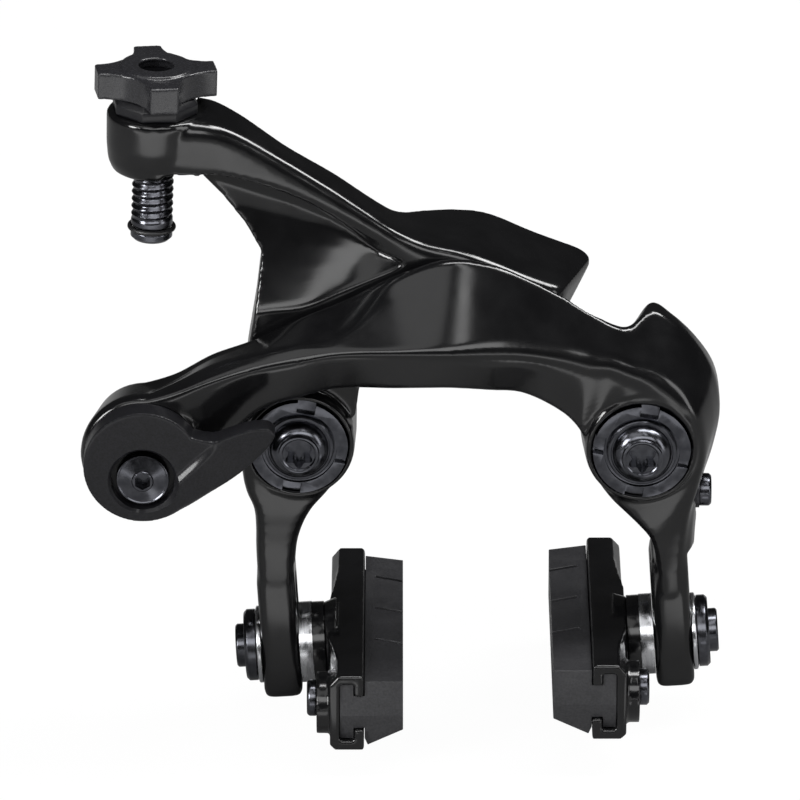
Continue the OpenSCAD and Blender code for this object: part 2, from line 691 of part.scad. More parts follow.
module adjuster_knob() {
  color(graphite) at_adjuster() difference() {
    union() {
      translate([0, 0, collar_h]) linear_extrude(knob_h) knob_outline();
      translate([0, 0, collar_h + knob_h]) cylinder(r = hub_r, h = hub_h);
    }
    translate([0, 0, -1]) cylinder(r = nut_neck_r, h = nut_h + 1);
    cylinder(r = barrel_r + 0.15, h = barrel_top + barrel_travel + 0.2);
    cylinder(r = housing_r + 0.35, h = 20);
  }
}

module adjuster_nut() {
  color(dark_steel) at_adjuster() difference() {
    union() {
      cylinder(r1 = nut_flange_r - 0.3, r2 = nut_flange_r, h = collar_h - 1);
      translate([0, 0, collar_h - 1]) cylinder(r1 = nut_flange_r, r2 = nut_flange_r - 1, h = 1);
      translate([0, 0, -nut_spigot_h]) cylinder(r = nut_spigot_r, h = nut_spigot_h);
      cylinder(r = nut_neck_r, h = nut_h);
    }
    translate([0, 0, -5]) cylinder(r = barrel_r + run_gap, h = 20);
  }
}

barrel_low = -boss_h - barrel_drop;
seal_z = barrel_low + 1.6 * barrel_pitch;
socket_depth = 9;
seal_middle_r = barrel_r + seal_wire * 0.1875;
module seal_ring() { rotate_extrude() translate([seal_middle_r, 0]) circle(r = seal_wire / 2); }

module adjuster_barrel() {
  color(dark_steel) at_adjuster() difference() {
    union() {
      translate([0, 0, barrel_low + 0.5]) cylinder(r = barrel_r, h = barrel_top - barrel_low - 0.5);
      translate([0, 0, barrel_low]) cylinder(r1 = barrel_r - 0.5, r2 = barrel_r, h = 0.5);
    }
    translate([0, 0, barrel_top - socket_depth]) cylinder(r = housing_r, h = socket_depth + 1);
    translate([0, 0, barrel_low - 1]) cylinder(r = cable_r + 0.3, h = 30);
    translate([0, 0, seal_z]) seal_ring();
    translate([-key_r - fit_gap, barrel_r - 0.7, key_z - key_r - 6.2])
      cube([2 * (key_r + fit_gap), 2, 2 * key_r + 6.4]);
  }
}

module barrel_seal() {
  color(rubber) at_adjuster() translate([0, 0, seal_z]) seal_ring();
}

// Link between the two arms
link_pin_front = -24.5;
link_pin_back = -11.2;
roller_front_y = web_front_y + fit_gap;
roller_back_y = -13;
clip_t = 0.8;

module link_pin() {
  color(steel) translate([0, 0, link_z]) difference() {
    bar_y(link_pin_r, link_pin_front, link_pin_back);
    difference() {
      bar_y(link_pin_r + 1, roller_back_y + fit_gap, roller_back_y + fit_gap + clip_t);
      bar_y(link_pin_r - 0.4, roller_back_y, roller_back_y + 2);
    }
  }
}

module link_roller() {
  color(steel) translate([0, 0, link_z]) difference() {
    bar_y(roller_r, roller_front_y, roller_back_y);
    bar_y(link_pin_r + run_gap, roller_front_y - 1, roller_back_y + 1);
  }
}

module link_clip() {
  color(dark_steel) translate([0, 0, link_z]) difference() {
    bar_y(roller_r - 0.3, roller_back_y + fit_gap, roller_back_y + fit_gap + clip_t);
    bar_y(link_pin_r - 0.4, roller_back_y - 1, roller_back_y + 2);
    translate([-0.9, roller_back_y - 1, 0]) cube([1.8, 4, 5]);
  }
}

// Cable end: a quick release lever with an eccentric cable bolt
lever_back_y = end_front_y - fit_gap;
lever_front_y = lever_back_y - lever_t;
drum_back_y = -17.2;
bolt_recess_r = anchor_head_r + 0.9;
bolt_recess = 2.6;
anchor_hex = 2.5;
anchor_hex_h = 2;
anchor_head_h = 2.9;
plate_clamp_t = 1.9;
clamp_r = 5.2;
clamp_tab_w = 4.8;
clamp_nut_w = 8;
clamp_nut_h = 3;
lever_edge = [
  [-4, 9.2], [2.8, 8.8], [5.7, 6.7], [8.2, 5.2], [11.5, 4.6], [14, 5.4], [17.3, 6.5], [20.3, 6.6],
  [21.6, 5.4],
];
lever_under = [[21.6, 5.4], [19.9, 2.6], [15.8, -1.2], [11, -4.1], [6.5, -6.5], [3, -9]];

module lever_outline() {
  circle(r = lever_r);
  polygon(concat(curve(lever_edge, 3), curve(lever_under, 2), [[-2, 0]]));
}

module quick_release_lever() {
  color(graphite) at_lever() difference() {
    union() {
      slab_y(lever_front_y, lever_back_y) lever_outline();
      bar_y(drum_r, lever_back_y, drum_back_y);
    }
    translate([0, 0, -lever_throw]) {
      bar_y(anchor_r + fit_gap, lever_front_y - 1, 0);
      bar_y(bolt_recess_r, lever_front_y - 1, lever_front_y + bolt_recess);
    }
  }
}

module lever_wave_washer() {
  color(steel) at_lever() difference() {
    bar_y(wave_r, end_front_y, end_front_y + wave_t);
    bar_y(drum_r + 0.3, end_front_y - 1, end_front_y + 2);
  }
}

plate_front_y = drum_back_y + 2 * cable_r;
nut_front_y = plate_front_y + plate_clamp_t;
module at_cable_bolt() { at_lever() translate([0, 0, -lever_throw]) children(); }

module cable_bolt() {
  seat = lever_front_y + bolt_recess;
  front = seat - anchor_head_h;
  color(dark_steel) at_cable_bolt() difference() {
    union() {
      turned_y([
        [0, seat], [anchor_head_r, seat], [anchor_head_r, front + 1], [anchor_head_r - 0.4, front + 0.5],
        [anchor_head_r - 1.6, front], [0, front],
      ]);
      bar_y(anchor_r, seat, nut_front_y + clamp_nut_h + 0.8);
    }
    slab_y(front - 1, front + anchor_hex_h) hexagon(anchor_hex);
  }
}

module cable_clamp_plate() {
  color(steel) at_cable_bolt() difference() {
    union() {
      bar_y(clamp_r, plate_front_y, nut_front_y);
      translate([-clamp_r - 1.2, plate_front_y, -clamp_tab_w / 2])
        cube([clamp_r / 2, plate_clamp_t, clamp_tab_w]);
    }
    bar_y(anchor_r + fit_gap, plate_front_y - 1, nut_front_y + 1);
    translate([anchor_r + cable_r, plate_front_y, -clamp_r - 1])
      cylinder(r = cable_r * 0.6, h = 2 * clamp_r + 2);
  }
}

module cable_clamp_nut() {
  color(dark_steel) at_cable_bolt() difference() {
    slab_y(nut_front_y, nut_front_y + clamp_nut_h) hexagon(clamp_nut_w);
    bar_y(anchor_r, nut_front_y - 1, nut_front_y + clamp_nut_h + 1);
  }
}

// Centring screw, in the side of the front arm
centering_r = 2;
centering_head_r = 2.7;
centering_head_h = 2;
centering_washer_t = 0.7;
centering_reach = 7;
centering_key_r = 1.15;
centering_key_h = 1.4;
module at_centering_screw() { translate([screw_face_x, screw_y, screw_z]) children(); }

module centering_washer() {
  hole = centering_r + fit_gap;
  rim = centering_head_r + 0.3;
  color(steel) at_centering_screw() turned_x([
    [hole, fit_gap], [rim, fit_gap], [rim, centering_washer_t], [hole, centering_washer_t],
  ]);
}

module centering_screw() {
  start = centering_washer_t;
  stop = start + centering_head_h;
  edge = 0.4;
  color(dark_steel) at_centering_screw() difference() {
    turned_x([
      [0, -centering_reach], [centering_r, -centering_reach], [centering_r, start], [centering_head_r, start],
      [centering_head_r, stop - edge], [centering_head_r - edge, stop], [0, stop],
    ]);
    translate([stop - centering_key_h, 0, 0]) rotate([0, 90, 0])
      cylinder(r = centering_key_r, h = centering_key_h + 1, $fn = 6);
  }
}

// Shoe hardware. X runs from the arm towards the rim, with zero at the middle of the arm
inner_face = seat_t / 2;
outer_t = 1.7;
outer_rim_r = 6.4;
outer_ball_r = ball_x + inner_face + outer_t;
dome_r = 6.6;
dome_end = 7.4;
flange_r = 5.95;
flange_x = -6;
head_x = -7.5;
bolt_end_r = 3.6;
bolt_key_r = 2.3;
bolt_key_h = 2;
bolt_tip = 12.4;

module seat_washer_inner() {
  difference() {
    translate([inner_face, 0, 0]) rotate([0, 90, 0]) cylinder(r = washer_r, h = washer_t);
    translate([ball_x, 0, 0]) sphere(r = ball_r);
    rotate([0, 90, 0]) cylinder(r = slot_r, h = 20);
  }
}

module seat_washer_outer() {
  steps = 6;
  dome = [for (i = [0:steps])
    let (r = mix(slot_r, outer_rim_r, i / steps))
    [r, ball_x - sqrt(outer_ball_r * outer_ball_r - r * r)]];
  turned_x(concat(dome, [[outer_rim_r, -inner_face], [slot_r, -inner_face]]));
}

module dome_washer() {
  difference() {
    intersection() {
      translate([ball_x, 0, 0]) sphere(r = ball_r - fit_gap);
      turned_x([[0, 0], [dome_r, 0], [dome_r, dome_end], [0, dome_end]]);
    }
    rotate([0, 90, 0]) cylinder(r = shoe_bolt_r, h = 20);
  }
}

module shoe_bolt() {
  edge = 0.5;
  difference() {
    union() {
      difference() {
        turned_x([
          [0, flange_x], [flange_r - edge, flange_x], [flange_r, flange_x + edge], [flange_r, -inner_face],
          [0, -inner_face],
        ]);
        translate([ball_x, 0, 0]) sphere(r = outer_ball_r + fit_gap);
      }
      turned_x([
        [0, head_x], [bolt_end_r - 0.3, head_x], [bolt_end_r, head_x + 0.3], [bolt_end_r, flange_x + edge],
        [0, flange_x + edge],
      ]);
      translate([flange_x, 0, 0]) rotate([0, 90, 0]) cylinder(r = shoe_bolt_r, h = bolt_tip - flange_x);
    }
    translate([head_x - 1, 0, 0]) rotate([0, 90, 0]) cylinder(r = bolt_key_r, h = bolt_key_h + 1, $fn = 6);
  }
}

// Shoe, upright, with X from the seat towards the rim and Z from the bolt
shoe_front = 23.7;
rim_face = 20.2;
shoe_pitch = -1.4;
holder_depth = 5.6;
holder_wall = 1.6;
shoe_top = 4.8;
pad_step = 1.2;
pad_face_h = 8.6;
channel_gap = 0.1;
pad_screw_r = 1.5;
screw_in = 5;
screw_up = -1.6;
screw_boss_h = 2.2;
screw_boss_w = 5.1;
screw_boss_drop = 0.8;
pad_end_slant = 17;
groove_slant = 24;
groove_w = 0.8;
groove_depth = 4.8;
groove_step = shoe_l / 4;
groove_start = 3.8;
pad_head_r = 3;
pad_head_h = 1.6;
pad_key_r = 1.3;
pad_key_h = 1;

module at_left_shoe() {
  translate([left_seat_x, leg_mid_y, -left_drop]) rotate([shoe_pitch, 0, 0]) children();
}
module at_right_shoe() {
  translate([right_seat_x, leg_mid_y, -right_drop]) rotate([shoe_pitch, 0, 0]) mirror([1, 0, 0]) children();
}

// Lines things up with the shoe's bolt, which leans in its seat, with X along the bolt
module along_bolt(tilt) { rotate([-shoe_pitch, 0, 0]) rotate([0, -tilt, 0]) children(); }

// Outline across a shoe, drawn in XZ and run from y0 to y1
module shoe_run(y0, y1) { slab_y(y0, y1) children(); }

holder_back = rim_face - shoe_w;
holder_edge = holder_back + holder_depth;
shoe_low = shoe_top - shoe_h;
channel_back = holder_back + holder_wall;
channel_top = shoe_top - holder_wall;
channel_low = shoe_low + holder_wall;

// Lips at the mouth of the channel, which hook over the pad
lip_t = 1.6;
lip_h = 2;
mouth_x = holder_edge - lip_t;

// Thicker middle of the holder, under its bolt
bulge = 0.2;
bulge_half = 8.5;
bulge_fade = 4;

module shoe_holder(tilt) {
  y0 = -shoe_front;
  y1 = shoe_l - shoe_front;
  sink = holder_wall - fit_gap;
  difference() {
    union() {
      shoe_run(y0 - 1, y1 + 0.6) polygon([
        [holder_back + 1.4, shoe_top], [holder_edge - 0.4, shoe_top], [holder_edge, shoe_top - 0.4],
        [holder_edge, shoe_low], [holder_back + 0.8, shoe_low], [holder_back, shoe_low + 0.8],
        [holder_back, shoe_top - 1.6],
      ]);
      along_bolt(tilt) translate([dome_end, 0, 0]) rotate([0, 90, 0])
        cylinder(r1 = dome_r - 0.2, r2 = dome_r + 0.6, h = holder_back - dome_end + 1.4);
      translate([0, 0, shoe_low + holder_wall]) linear_extrude(shoe_h - holder_wall - bulge) polygon([
        [holder_back + sink, y0 + bulge_fade], [holder_back - bulge, -bulge_half],
        [holder_back - bulge, bulge_half], [holder_back + sink, y1 - bulge_fade],
      ]);
      translate([holder_back - screw_boss_h, y0 + screw_in, screw_up - screw_boss_drop]) rotate([0, 90, 0])
        cylinder(r = screw_boss_w, h = screw_boss_h + 1);
    }
    shoe_run(y0 - 2, y1) union() {
      translate([channel_back, channel_low]) square([mouth_x - channel_back, channel_top - channel_low]);
      translate([channel_back, channel_low + lip_h])
        square([holder_edge, channel_top - channel_low - 2 * lip_h]);
    }
    along_bolt(tilt) rotate([0, 90, 0]) {
      cylinder(r = shoe_bolt_r + 0.05, h = bolt_tip + 0.3);
      cylinder(r = dome_r + fit_gap, h = dome_end);
    }
    translate([0, y0 + screw_in, screw_up]) rotate([0, 90, 0]) cylinder(r = pad_screw_r, h = 20);
  }
}

module brake_pad(tilt) {
  y0 = -shoe_front;
  y1 = shoe_l - shoe_front;
  low = channel_low + channel_gap;
  high = channel_top - channel_gap;
  face_high = shoe_top - pad_step;
  rib_x = mouth_x - channel_gap;
  neck_high = channel_top - lip_h - channel_gap;
  neck_low = channel_low + lip_h + channel_gap;
  face_x = holder_edge + channel_gap;
  difference() {
    shoe_run(y0 - 0.8, y1 - channel_gap) polygon([
      [channel_back + 0.05, high], [rib_x, high], [rib_x, neck_high], [face_x, neck_high],
      [face_x, face_high], [rim_face, face_high], [rim_face, face_high - pad_face_h],
      [face_x + 0.5, shoe_low + 0.4], [face_x, low], [face_x, neck_low], [rib_x, neck_low], [rib_x, low],
      [channel_back + 0.05, low],
    ]);
    for (i = [1:groove_count])
      translate([rim_face - groove_depth, y0 + groove_start + i * groove_step, shoe_low - 1])
        rotate([0, 0, -groove_slant]) cube([groove_depth + 4, groove_w, shoe_h + 2]);
    translate([holder_edge, y1, shoe_low - 1]) rotate([0, 0, -pad_end_slant]) cube([shoe_w, 5, shoe_h + 2]);
    along_bolt(tilt) rotate([0, 90, 0]) cylinder(r = shoe_bolt_r + 0.3, h = bolt_tip + 0.6);
    translate([0, y0 + screw_in, screw_up]) rotate([0, 90, 0]) cylinder(r = pad_screw_r, h = holder_edge);
  }
}

module pad_screw() {
  seat = holder_back - screw_boss_h;
  front = seat - pad_head_h;
  tip = holder_edge - 0.5;
  edge = 0.4;
  translate([0, -shoe_front + screw_in, screw_up]) difference() {
    turned_x([
      [0, front], [pad_head_r - edge, front], [pad_head_r, front + edge], [pad_head_r, seat],
      [pad_screw_r, seat], [pad_screw_r, tip], [0, tip],
    ]);
    translate([front - 1, 0, 0]) rotate([0, 90, 0]) cylinder(r = pad_key_r, h = pad_key_h + 1, $fn = 6);
  }
}

module left_seat_washer_outer() { color(steel) at_left_seat() seat_washer_outer(); }
module left_seat_washer_inner() { color(steel) at_left_seat() seat_washer_inner(); }
module left_dome_washer() { color(black) at_left_seat() dome_washer(); }
module left_shoe_bolt() { color(dark_steel) at_left_seat() shoe_bolt(); }
module left_shoe_holder() { color(black) at_left_shoe() shoe_holder(left_tilt); }
module left_brake_pad() { color(rubber) at_left_shoe() brake_pad(left_tilt); }
module left_pad_screw() { color(dark_steel) at_left_shoe() pad_screw(); }
module right_seat_washer_outer() { color(steel) at_right_seat() seat_washer_outer(); }
module right_seat_washer_inner() { color(steel) at_right_seat() seat_washer_inner(); }
module right_dome_washer() { color(black) at_right_seat() dome_washer(); }
module right_shoe_bolt() { color(dark_steel) at_right_seat() shoe_bolt(); }
module right_shoe_holder() { color(black) at_right_shoe() shoe_holder(-right_tilt); }
module right_brake_pad() { color(rubber) at_right_shoe() brake_pad(-right_tilt); }
module right_pad_screw() { color(dark_steel) at_right_shoe() pad_screw(); }

back_plate();
pivot_tubes();
ring_nuts();
mounting_bolts();
left_arm();
left_bush();
left_spring();
adjuster_key();
adjuster_knob();
adjuster_nut();
adjuster_barrel();
barrel_seal();
right_arm();
right_bush();
right_spring();
link_pin();
link_roller();
link_clip();
quick_release_lever();
lever_wave_washer();
cable_bolt();
cable_clamp_plate();
cable_clamp_nut();
centering_screw();
centering_washer();
left_seat_washer_outer();
left_seat_washer_inner();
left_dome_washer();
left_shoe_bolt();
left_shoe_holder();
left_brake_pad();
left_pad_screw();
right_seat_washer_outer();
right_seat_washer_inner();
right_dome_washer();
right_shoe_bolt();
right_shoe_holder();
right_brake_pad();
right_pad_screw();
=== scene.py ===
# Studio scene of a direct mount rim brake caliper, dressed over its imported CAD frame.
# Sizes are written in millimetres and turned to metres by MM. Lamps alone are placed in metres.
import math

import bpy
from mathutils import Matrix, Vector


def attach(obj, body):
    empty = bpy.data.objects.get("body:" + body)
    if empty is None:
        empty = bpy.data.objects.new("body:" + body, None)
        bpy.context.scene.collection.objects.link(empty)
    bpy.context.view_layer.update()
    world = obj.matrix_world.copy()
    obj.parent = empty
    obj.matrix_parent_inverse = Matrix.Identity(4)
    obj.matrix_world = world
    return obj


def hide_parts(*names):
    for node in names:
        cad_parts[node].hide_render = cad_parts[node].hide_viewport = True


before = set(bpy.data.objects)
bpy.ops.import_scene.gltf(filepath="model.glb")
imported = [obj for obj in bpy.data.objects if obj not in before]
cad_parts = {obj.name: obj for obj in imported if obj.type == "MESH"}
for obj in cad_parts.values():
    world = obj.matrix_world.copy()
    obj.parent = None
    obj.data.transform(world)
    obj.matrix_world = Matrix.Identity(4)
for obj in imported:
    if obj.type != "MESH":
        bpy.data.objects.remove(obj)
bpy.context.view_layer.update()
MM = 0.001
FULL_TURN = 2 * math.pi


def linear(code):
    """Turn an sRGB hex colour into the linear values that shaders use."""
    parts = [int(code[i:i + 2], 16) / 255 for i in (0, 2, 4)]
    return tuple(c / 12.92 if c <= 0.04045 else ((c + 0.055) / 1.055) ** 2.4 for c in parts) + (1.0,)


# Materials


def add_node(tree, kind, settings=None, values=None, links=None):
    """Add one shader node with its settings, its socket values and its incoming links."""
    node = tree.nodes.new("ShaderNode" + kind)
    for key, value in (settings or {}).items():
        setattr(node, key, value)
    for key, value in (values or {}).items():
        node.inputs[key].default_value = value
    for key, source in (links or {}).items():
        tree.links.new(source, node.inputs[key])
    return node


def ramp_stops(node, stops):
    """Set the stops of a colour ramp from (place, sRGB hex) pairs."""
    ramp = node.color_ramp
    while len(ramp.elements) < len(stops):
        ramp.elements.new(0.5)
    for element, (place, code) in zip(ramp.elements, stops):
        element.position = place
        element.color = linear(code)


def new_material(name, **shader_values):
    """Start a material with its shader and its output, and return it with its tree and shader."""
    material = bpy.data.materials.new(name)
    material.use_nodes = True
    tree = material.node_tree
    tree.nodes.clear()
    shader = add_node(tree, "BsdfPrincipled", values=shader_values)
    add_node(tree, "OutputMaterial", links={"Surface": shader.outputs["BSDF"]})
    return material, tree, shader


def object_noise(tree, size_mm, detail=2.0, stretch=(1, 1, 1)):
    """Noise whose lumps are about size_mm across, read from Object coordinates."""
    place = add_node(tree, "TexCoord")
    stretched = add_node(
        tree, "Mapping", values={"Scale": stretch}, links={"Vector": place.outputs["Object"]})
    return add_node(
        tree, "TexNoise",
        values={"Scale": 1 / (size_mm * MM), "Detail": detail, "Roughness": 0.55},
        links={"Vector": stretched.outputs["Vector"]})


def vary(tree, shader, socket, source, low, high):
    """Drive a shader socket between two values by a noise."""
    spread = add_node(
        tree, "MapRange",
        values={"From Min": 0.3, "From Max": 0.7, "To Min": low, "To Max": high},
        links={"Value": source.outputs["Fac"]})
    tree.links.new(spread.outputs["Result"], shader.inputs[socket])


def tint(tree, shader, source, dark, light):
    """Colour a surface between two close tones by a noise."""
    ramp = add_node(tree, "ValToRGB", links={"Fac": source.outputs["Fac"]})
    ramp_stops(ramp, [(0.35, dark), (0.65, light)])
    tree.links.new(ramp.outputs["Color"], shader.inputs["Base Color"])


def relief(tree, shader, source, depth_mm, strength=1.0):
    """Give a surface a fine relief of a stated depth."""
    bump = add_node(
        tree, "Bump",
        values={"Strength": strength, "Distance": depth_mm * MM},
        links={"Height": source.outputs["Fac"]})
    tree.links.new(bump.outputs["Normal"], shader.inputs["Normal"])


def gloss_anodised_aluminium():
    # Forged aluminium, polished and anodised black under a clear layer. The eye gets a deep black
    # with crisp edge highlights, and a faint waviness of the polish about 6 mm across.
    material, tree, shader = new_material(
        "gloss_black_anodised_aluminium", Metallic=0.0, Roughness=0.2, IOR=1.5)
    polish = object_noise(tree, 6, detail=3)
    tint(tree, shader, polish, "0b0b0c", "0f0f10")
    vary(tree, shader, "Roughness", polish, 0.13, 0.18)
    # Grain of the blasting under the clear layer is 0.05 mm, drawn at 0.25 mm so that it shows
    relief(tree, shader, object_noise(tree, 0.25), 0.002, 0.25)
    return material


def blasted_grey_aluminium():
    # Bead blasted, anodised dark grey and sealed. The eye gets a fine speckle under a soft wide
    # sheen, and a crisper line from the sealing layer along each rounded edge.
    material, tree, shader = new_material(
        "blasted_grey_anodised_aluminium", Metallic=0.0, Roughness=0.4)
    shader.inputs["Specular IOR Level"].default_value = 0.22
    shader.inputs["Coat Weight"].default_value = 0.25
    shader.inputs["Coat Roughness"].default_value = 0.12
    speckle = object_noise(tree, 0.3, detail=4)
    tint(tree, shader, speckle, "0e0e10", "18181b")
    vary(tree, shader, "Roughness", speckle, 0.32, 0.46)
    relief(tree, shader, speckle, 0.015, 0.3)
    return material


def satin_moulded_nylon():
    # Glass filled nylon from a polished mould. The eye gets a dark satin with a very fine grain.
    material, tree, shader = new_material(
        "satin_dark_moulded_nylon", Metallic=0.0, Roughness=0.25, IOR=1.55)
    grain = object_noise(tree, 0.4, detail=4)
    tint(tree, shader, grain, "1b1b1d", "242427")
    vary(tree, shader, "Roughness", grain, 0.2, 0.3)
    relief(tree, shader, grain, 0.003, 0.2)
    return material


def black_chrome_steel():
    # Bolts plated in black chrome. The eye gets near black metal with bright small highlights.
    material, tree, shader = new_material("black_chrome_steel", Metallic=1.0, Roughness=0.25)
    plating = object_noise(tree, 1.5, detail=3)
    tint(tree, shader, plating, "4c4d52", "5c5d62")
    vary(tree, shader, "Roughness", plating, 0.16, 0.26)
    relief(tree, shader, object_noise(tree, 0.3), 0.004, 0.3)
    return material


def satin_dark_steel():
    # Turned steel with a dark satin plating. Fine rings of the turning show as a faint grain.
    material, tree, shader = new_material("satin_dark_plated_steel", Metallic=0.9, Roughness=0.4)
    grain = object_noise(tree, 0.5, detail=4)
    tint(tree, shader, grain, "3c3c3f", "4c4c4f")
    vary(tree, shader, "Roughness", grain, 0.32, 0.46)
    relief(tree, shader, grain, 0.008, 0.3)
    return material


def polished_steel():
    # Stainless steel washers with a bright turned face. Fine streaks run with the turning.
    material, tree, shader = new_material("polished_stainless_steel", Metallic=1.0, Roughness=0.22)
    streaks = object_noise(tree, 0.8, detail=4, stretch=(1, 0.12, 0.12))
    tint(tree, shader, streaks, "b4b5b8", "d2d3d6")
    vary(tree, shader, "Roughness", streaks, 0.16, 0.32)
    relief(tree, shader, streaks, 0.006, 0.3)
    return material


def pad_compound():
    # Moulded brake compound, a filled rubber. The eye gets a dull dark grey with fine pores.
    material, tree, shader = new_material(
        "moulded_rubber_brake_compound", Metallic=0.0, Roughness=0.42, IOR=1.52)
    pores = object_noise(tree, 0.35, detail=5)
    tint(tree, shader, pores, "232325", "303032")
    vary(tree, shader, "Roughness", object_noise(tree, 3, detail=3), 0.36, 0.5)
    relief(tree, shader, pores, 0.012, 0.3)
    return material


def seal_rubber():
    # Nitrile sealing ring, smooth and slightly greasy.
    material, tree, shader = new_material("nitrile_rubber_seal", Metallic=0.0, Roughness=0.4, IOR=1.52)
    grain = object_noise(tree, 0.5, detail=3)
    tint(tree, shader, grain, "131314", "1c1c1d")
    vary(tree, shader, "Roughness", grain, 0.32, 0.48)
    return material


arm_black = gloss_anodised_aluminium()
lever_grey = blasted_grey_aluminium()
knob_grey = satin_moulded_nylon()
bolt_black = black_chrome_steel()
dark_steel = satin_dark_steel()
bright_steel = polished_steel()
compound = pad_compound()
nitrile = seal_rubber()


def finish_with(thing, material):
    """Give every slot of an object one material."""
    if not thing.data.materials:
        thing.data.materials.append(material)
    for i in range(len(thing.data.materials)):
        thing.data.materials[i] = material


# Making and finishing pieces


def only(thing):
    """Select one object and make it the active one."""
    bpy.ops.object.select_all(action="DESELECT")
    thing.select_set(True)
    bpy.context.view_layer.objects.active = thing


def apply_modifier(thing, kind, **settings):
    """Add a modifier to an object and apply it at once."""
    only(thing)
    modifier = thing.modifiers.new(kind.lower(), kind)
    for key, value in settings.items():
        setattr(modifier, key, value)
    bpy.ops.object.modifier_apply(modifier=modifier.name)


# Widest gap between loose triangles that are one corner, and the turn that still counts as flat
CORNER_GAP = 0.002
FLAT_TURN = 0.5


def copy_of(node, name):
    """Copy a CAD node's mesh, merge its loose triangles and join those that lie in one plane."""
    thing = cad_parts[node].copy()
    thing.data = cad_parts[node].data.copy()
    thing.name = name
    for key in list(thing.keys()):
        del thing[key]
    thing.parent = None
    bpy.context.scene.collection.objects.link(thing)
    only(thing)
    bpy.ops.object.mode_set(mode="EDIT")
    bpy.ops.mesh.select_all(action="SELECT")
    bpy.ops.mesh.remove_doubles(threshold=CORNER_GAP * MM)
    bpy.ops.mesh.dissolve_limited(angle_limit=math.radians(FLAT_TURN))
    bpy.ops.object.mode_set(mode="OBJECT")
    return thing


def smooth_under(thing, corner):
    """Shade a piece smooth, apart from the edges that turn by more than corner degrees."""
    only(thing)
    bpy.ops.object.shade_smooth_by_angle(angle=math.radians(corner))


def ease_edges(thing, width, segments=3, corner=30):
    """Round the edges that turn by more than corner degrees, and shade the rest smooth."""
    apply_modifier(
        thing, "BEVEL", width=width * MM, segments=segments, limit_method="ANGLE",
        angle_limit=math.radians(corner), harden_normals=False, use_clamp_overlap=True,
        miter_outer="MITER_ARC")
    smooth_under(thing, corner)


def place(thing, material, body, slot, *nodes):
    """Give a finished piece its material and its body, and hide the CAD nodes that it stands for. The slot
    is not used.
    """
    finish_with(thing, material)
    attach(thing, body)
    if nodes:
        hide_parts(*nodes)


# Camera, floor and light

# The camera's place and lens were solved from the round bolt heads and nuts in the photograph
VIEW_DROP = math.radians(23.5)
CAMERA_AT = (-11.5 * MM, -1305.1 * MM, 566.9 * MM)
LENS = 386.6
SENSOR_WIDTH = 36
NEAREST_SEEN = 0.05
FARTHEST_SEEN = 20
FLOOR_SIZE = 8
FLOOR_HEIGHT = -52 * MM
# Glow of the floor to the camera, and the share of it that covers the lit floor
FLOOR_GLOW = 1.08
FLOOR_COVER = 0.9
ROOM_LIGHT = 0.06
CARD_HEIGHT = -0.05


def add_camera():
    """Set the camera at the photograph's place: straight in front and above."""
    data = bpy.data.cameras.new("camera")
    camera = bpy.data.objects.new("camera", data)
    bpy.context.scene.collection.objects.link(camera)
    camera.location = CAMERA_AT
    camera.rotation_euler = (math.pi / 2 - VIEW_DROP, 0, 0)
    data.lens = LENS
    data.sensor_width = SENSOR_WIDTH
    data.clip_start = NEAREST_SEEN
    data.clip_end = FARTHEST_SEEN
    bpy.context.scene.camera = camera


def add_floor():
    """Lay a pale floor just under the brake shoes."""
    bpy.ops.mesh.primitive_plane_add(size=FLOOR_SIZE, location=(0, 0, FLOOR_HEIGHT))
    floor = bpy.context.active_object
    floor.name = "floor"
    material, tree, shader = new_material("pale_studio_floor", Roughness=0.8)
    shader.inputs["Base Color"].default_value = linear("8c8c8c")
    shader.inputs["Specular IOR Level"].default_value = 0.0
    # The camera gets a near white floor that keeps part of the shadow
    ways = add_node(tree, "LightPath")
    cover = add_node(
        tree, "Math", {"operation": "MULTIPLY"}, {1: FLOOR_COVER}, {0: ways.outputs["Is Camera Ray"]})
    white = add_node(tree, "Emission", values={"Color": (1, 1, 1, 1), "Strength": FLOOR_GLOW})
    mixed = add_node(
        tree, "MixShader",
        links={0: cover.outputs[0], 1: shader.outputs["BSDF"], 2: white.outputs["Emission"]})
    out = next(n for n in tree.nodes if n.type == "OUTPUT_MATERIAL")
    tree.links.new(mixed.outputs[0], out.inputs["Surface"])
    finish_with(floor, material)


def softbox(name, where, aim, size, watts):
    """Hang a rectangular soft lamp at a place, aimed at a point."""
    data = bpy.data.lights.new(name, "AREA")
    data.shape = "RECTANGLE"
    data.size, data.size_y = size
    data.energy = watts
    lamp = bpy.data.objects.new(name, data)
    bpy.context.scene.collection.objects.link(lamp)
    lamp.visible_camera = False
    lamp.location = where
    lamp.rotation_euler = (Vector(aim) - Vector(where)).to_track_quat("-Z", "Y").to_euler()


def card(name, x, y, size, watts):
    """Lay a soft lamp low on the floor, facing straight up."""
    softbox(name, (x, y, CARD_HEIGHT), (x, y, 1), size, watts)


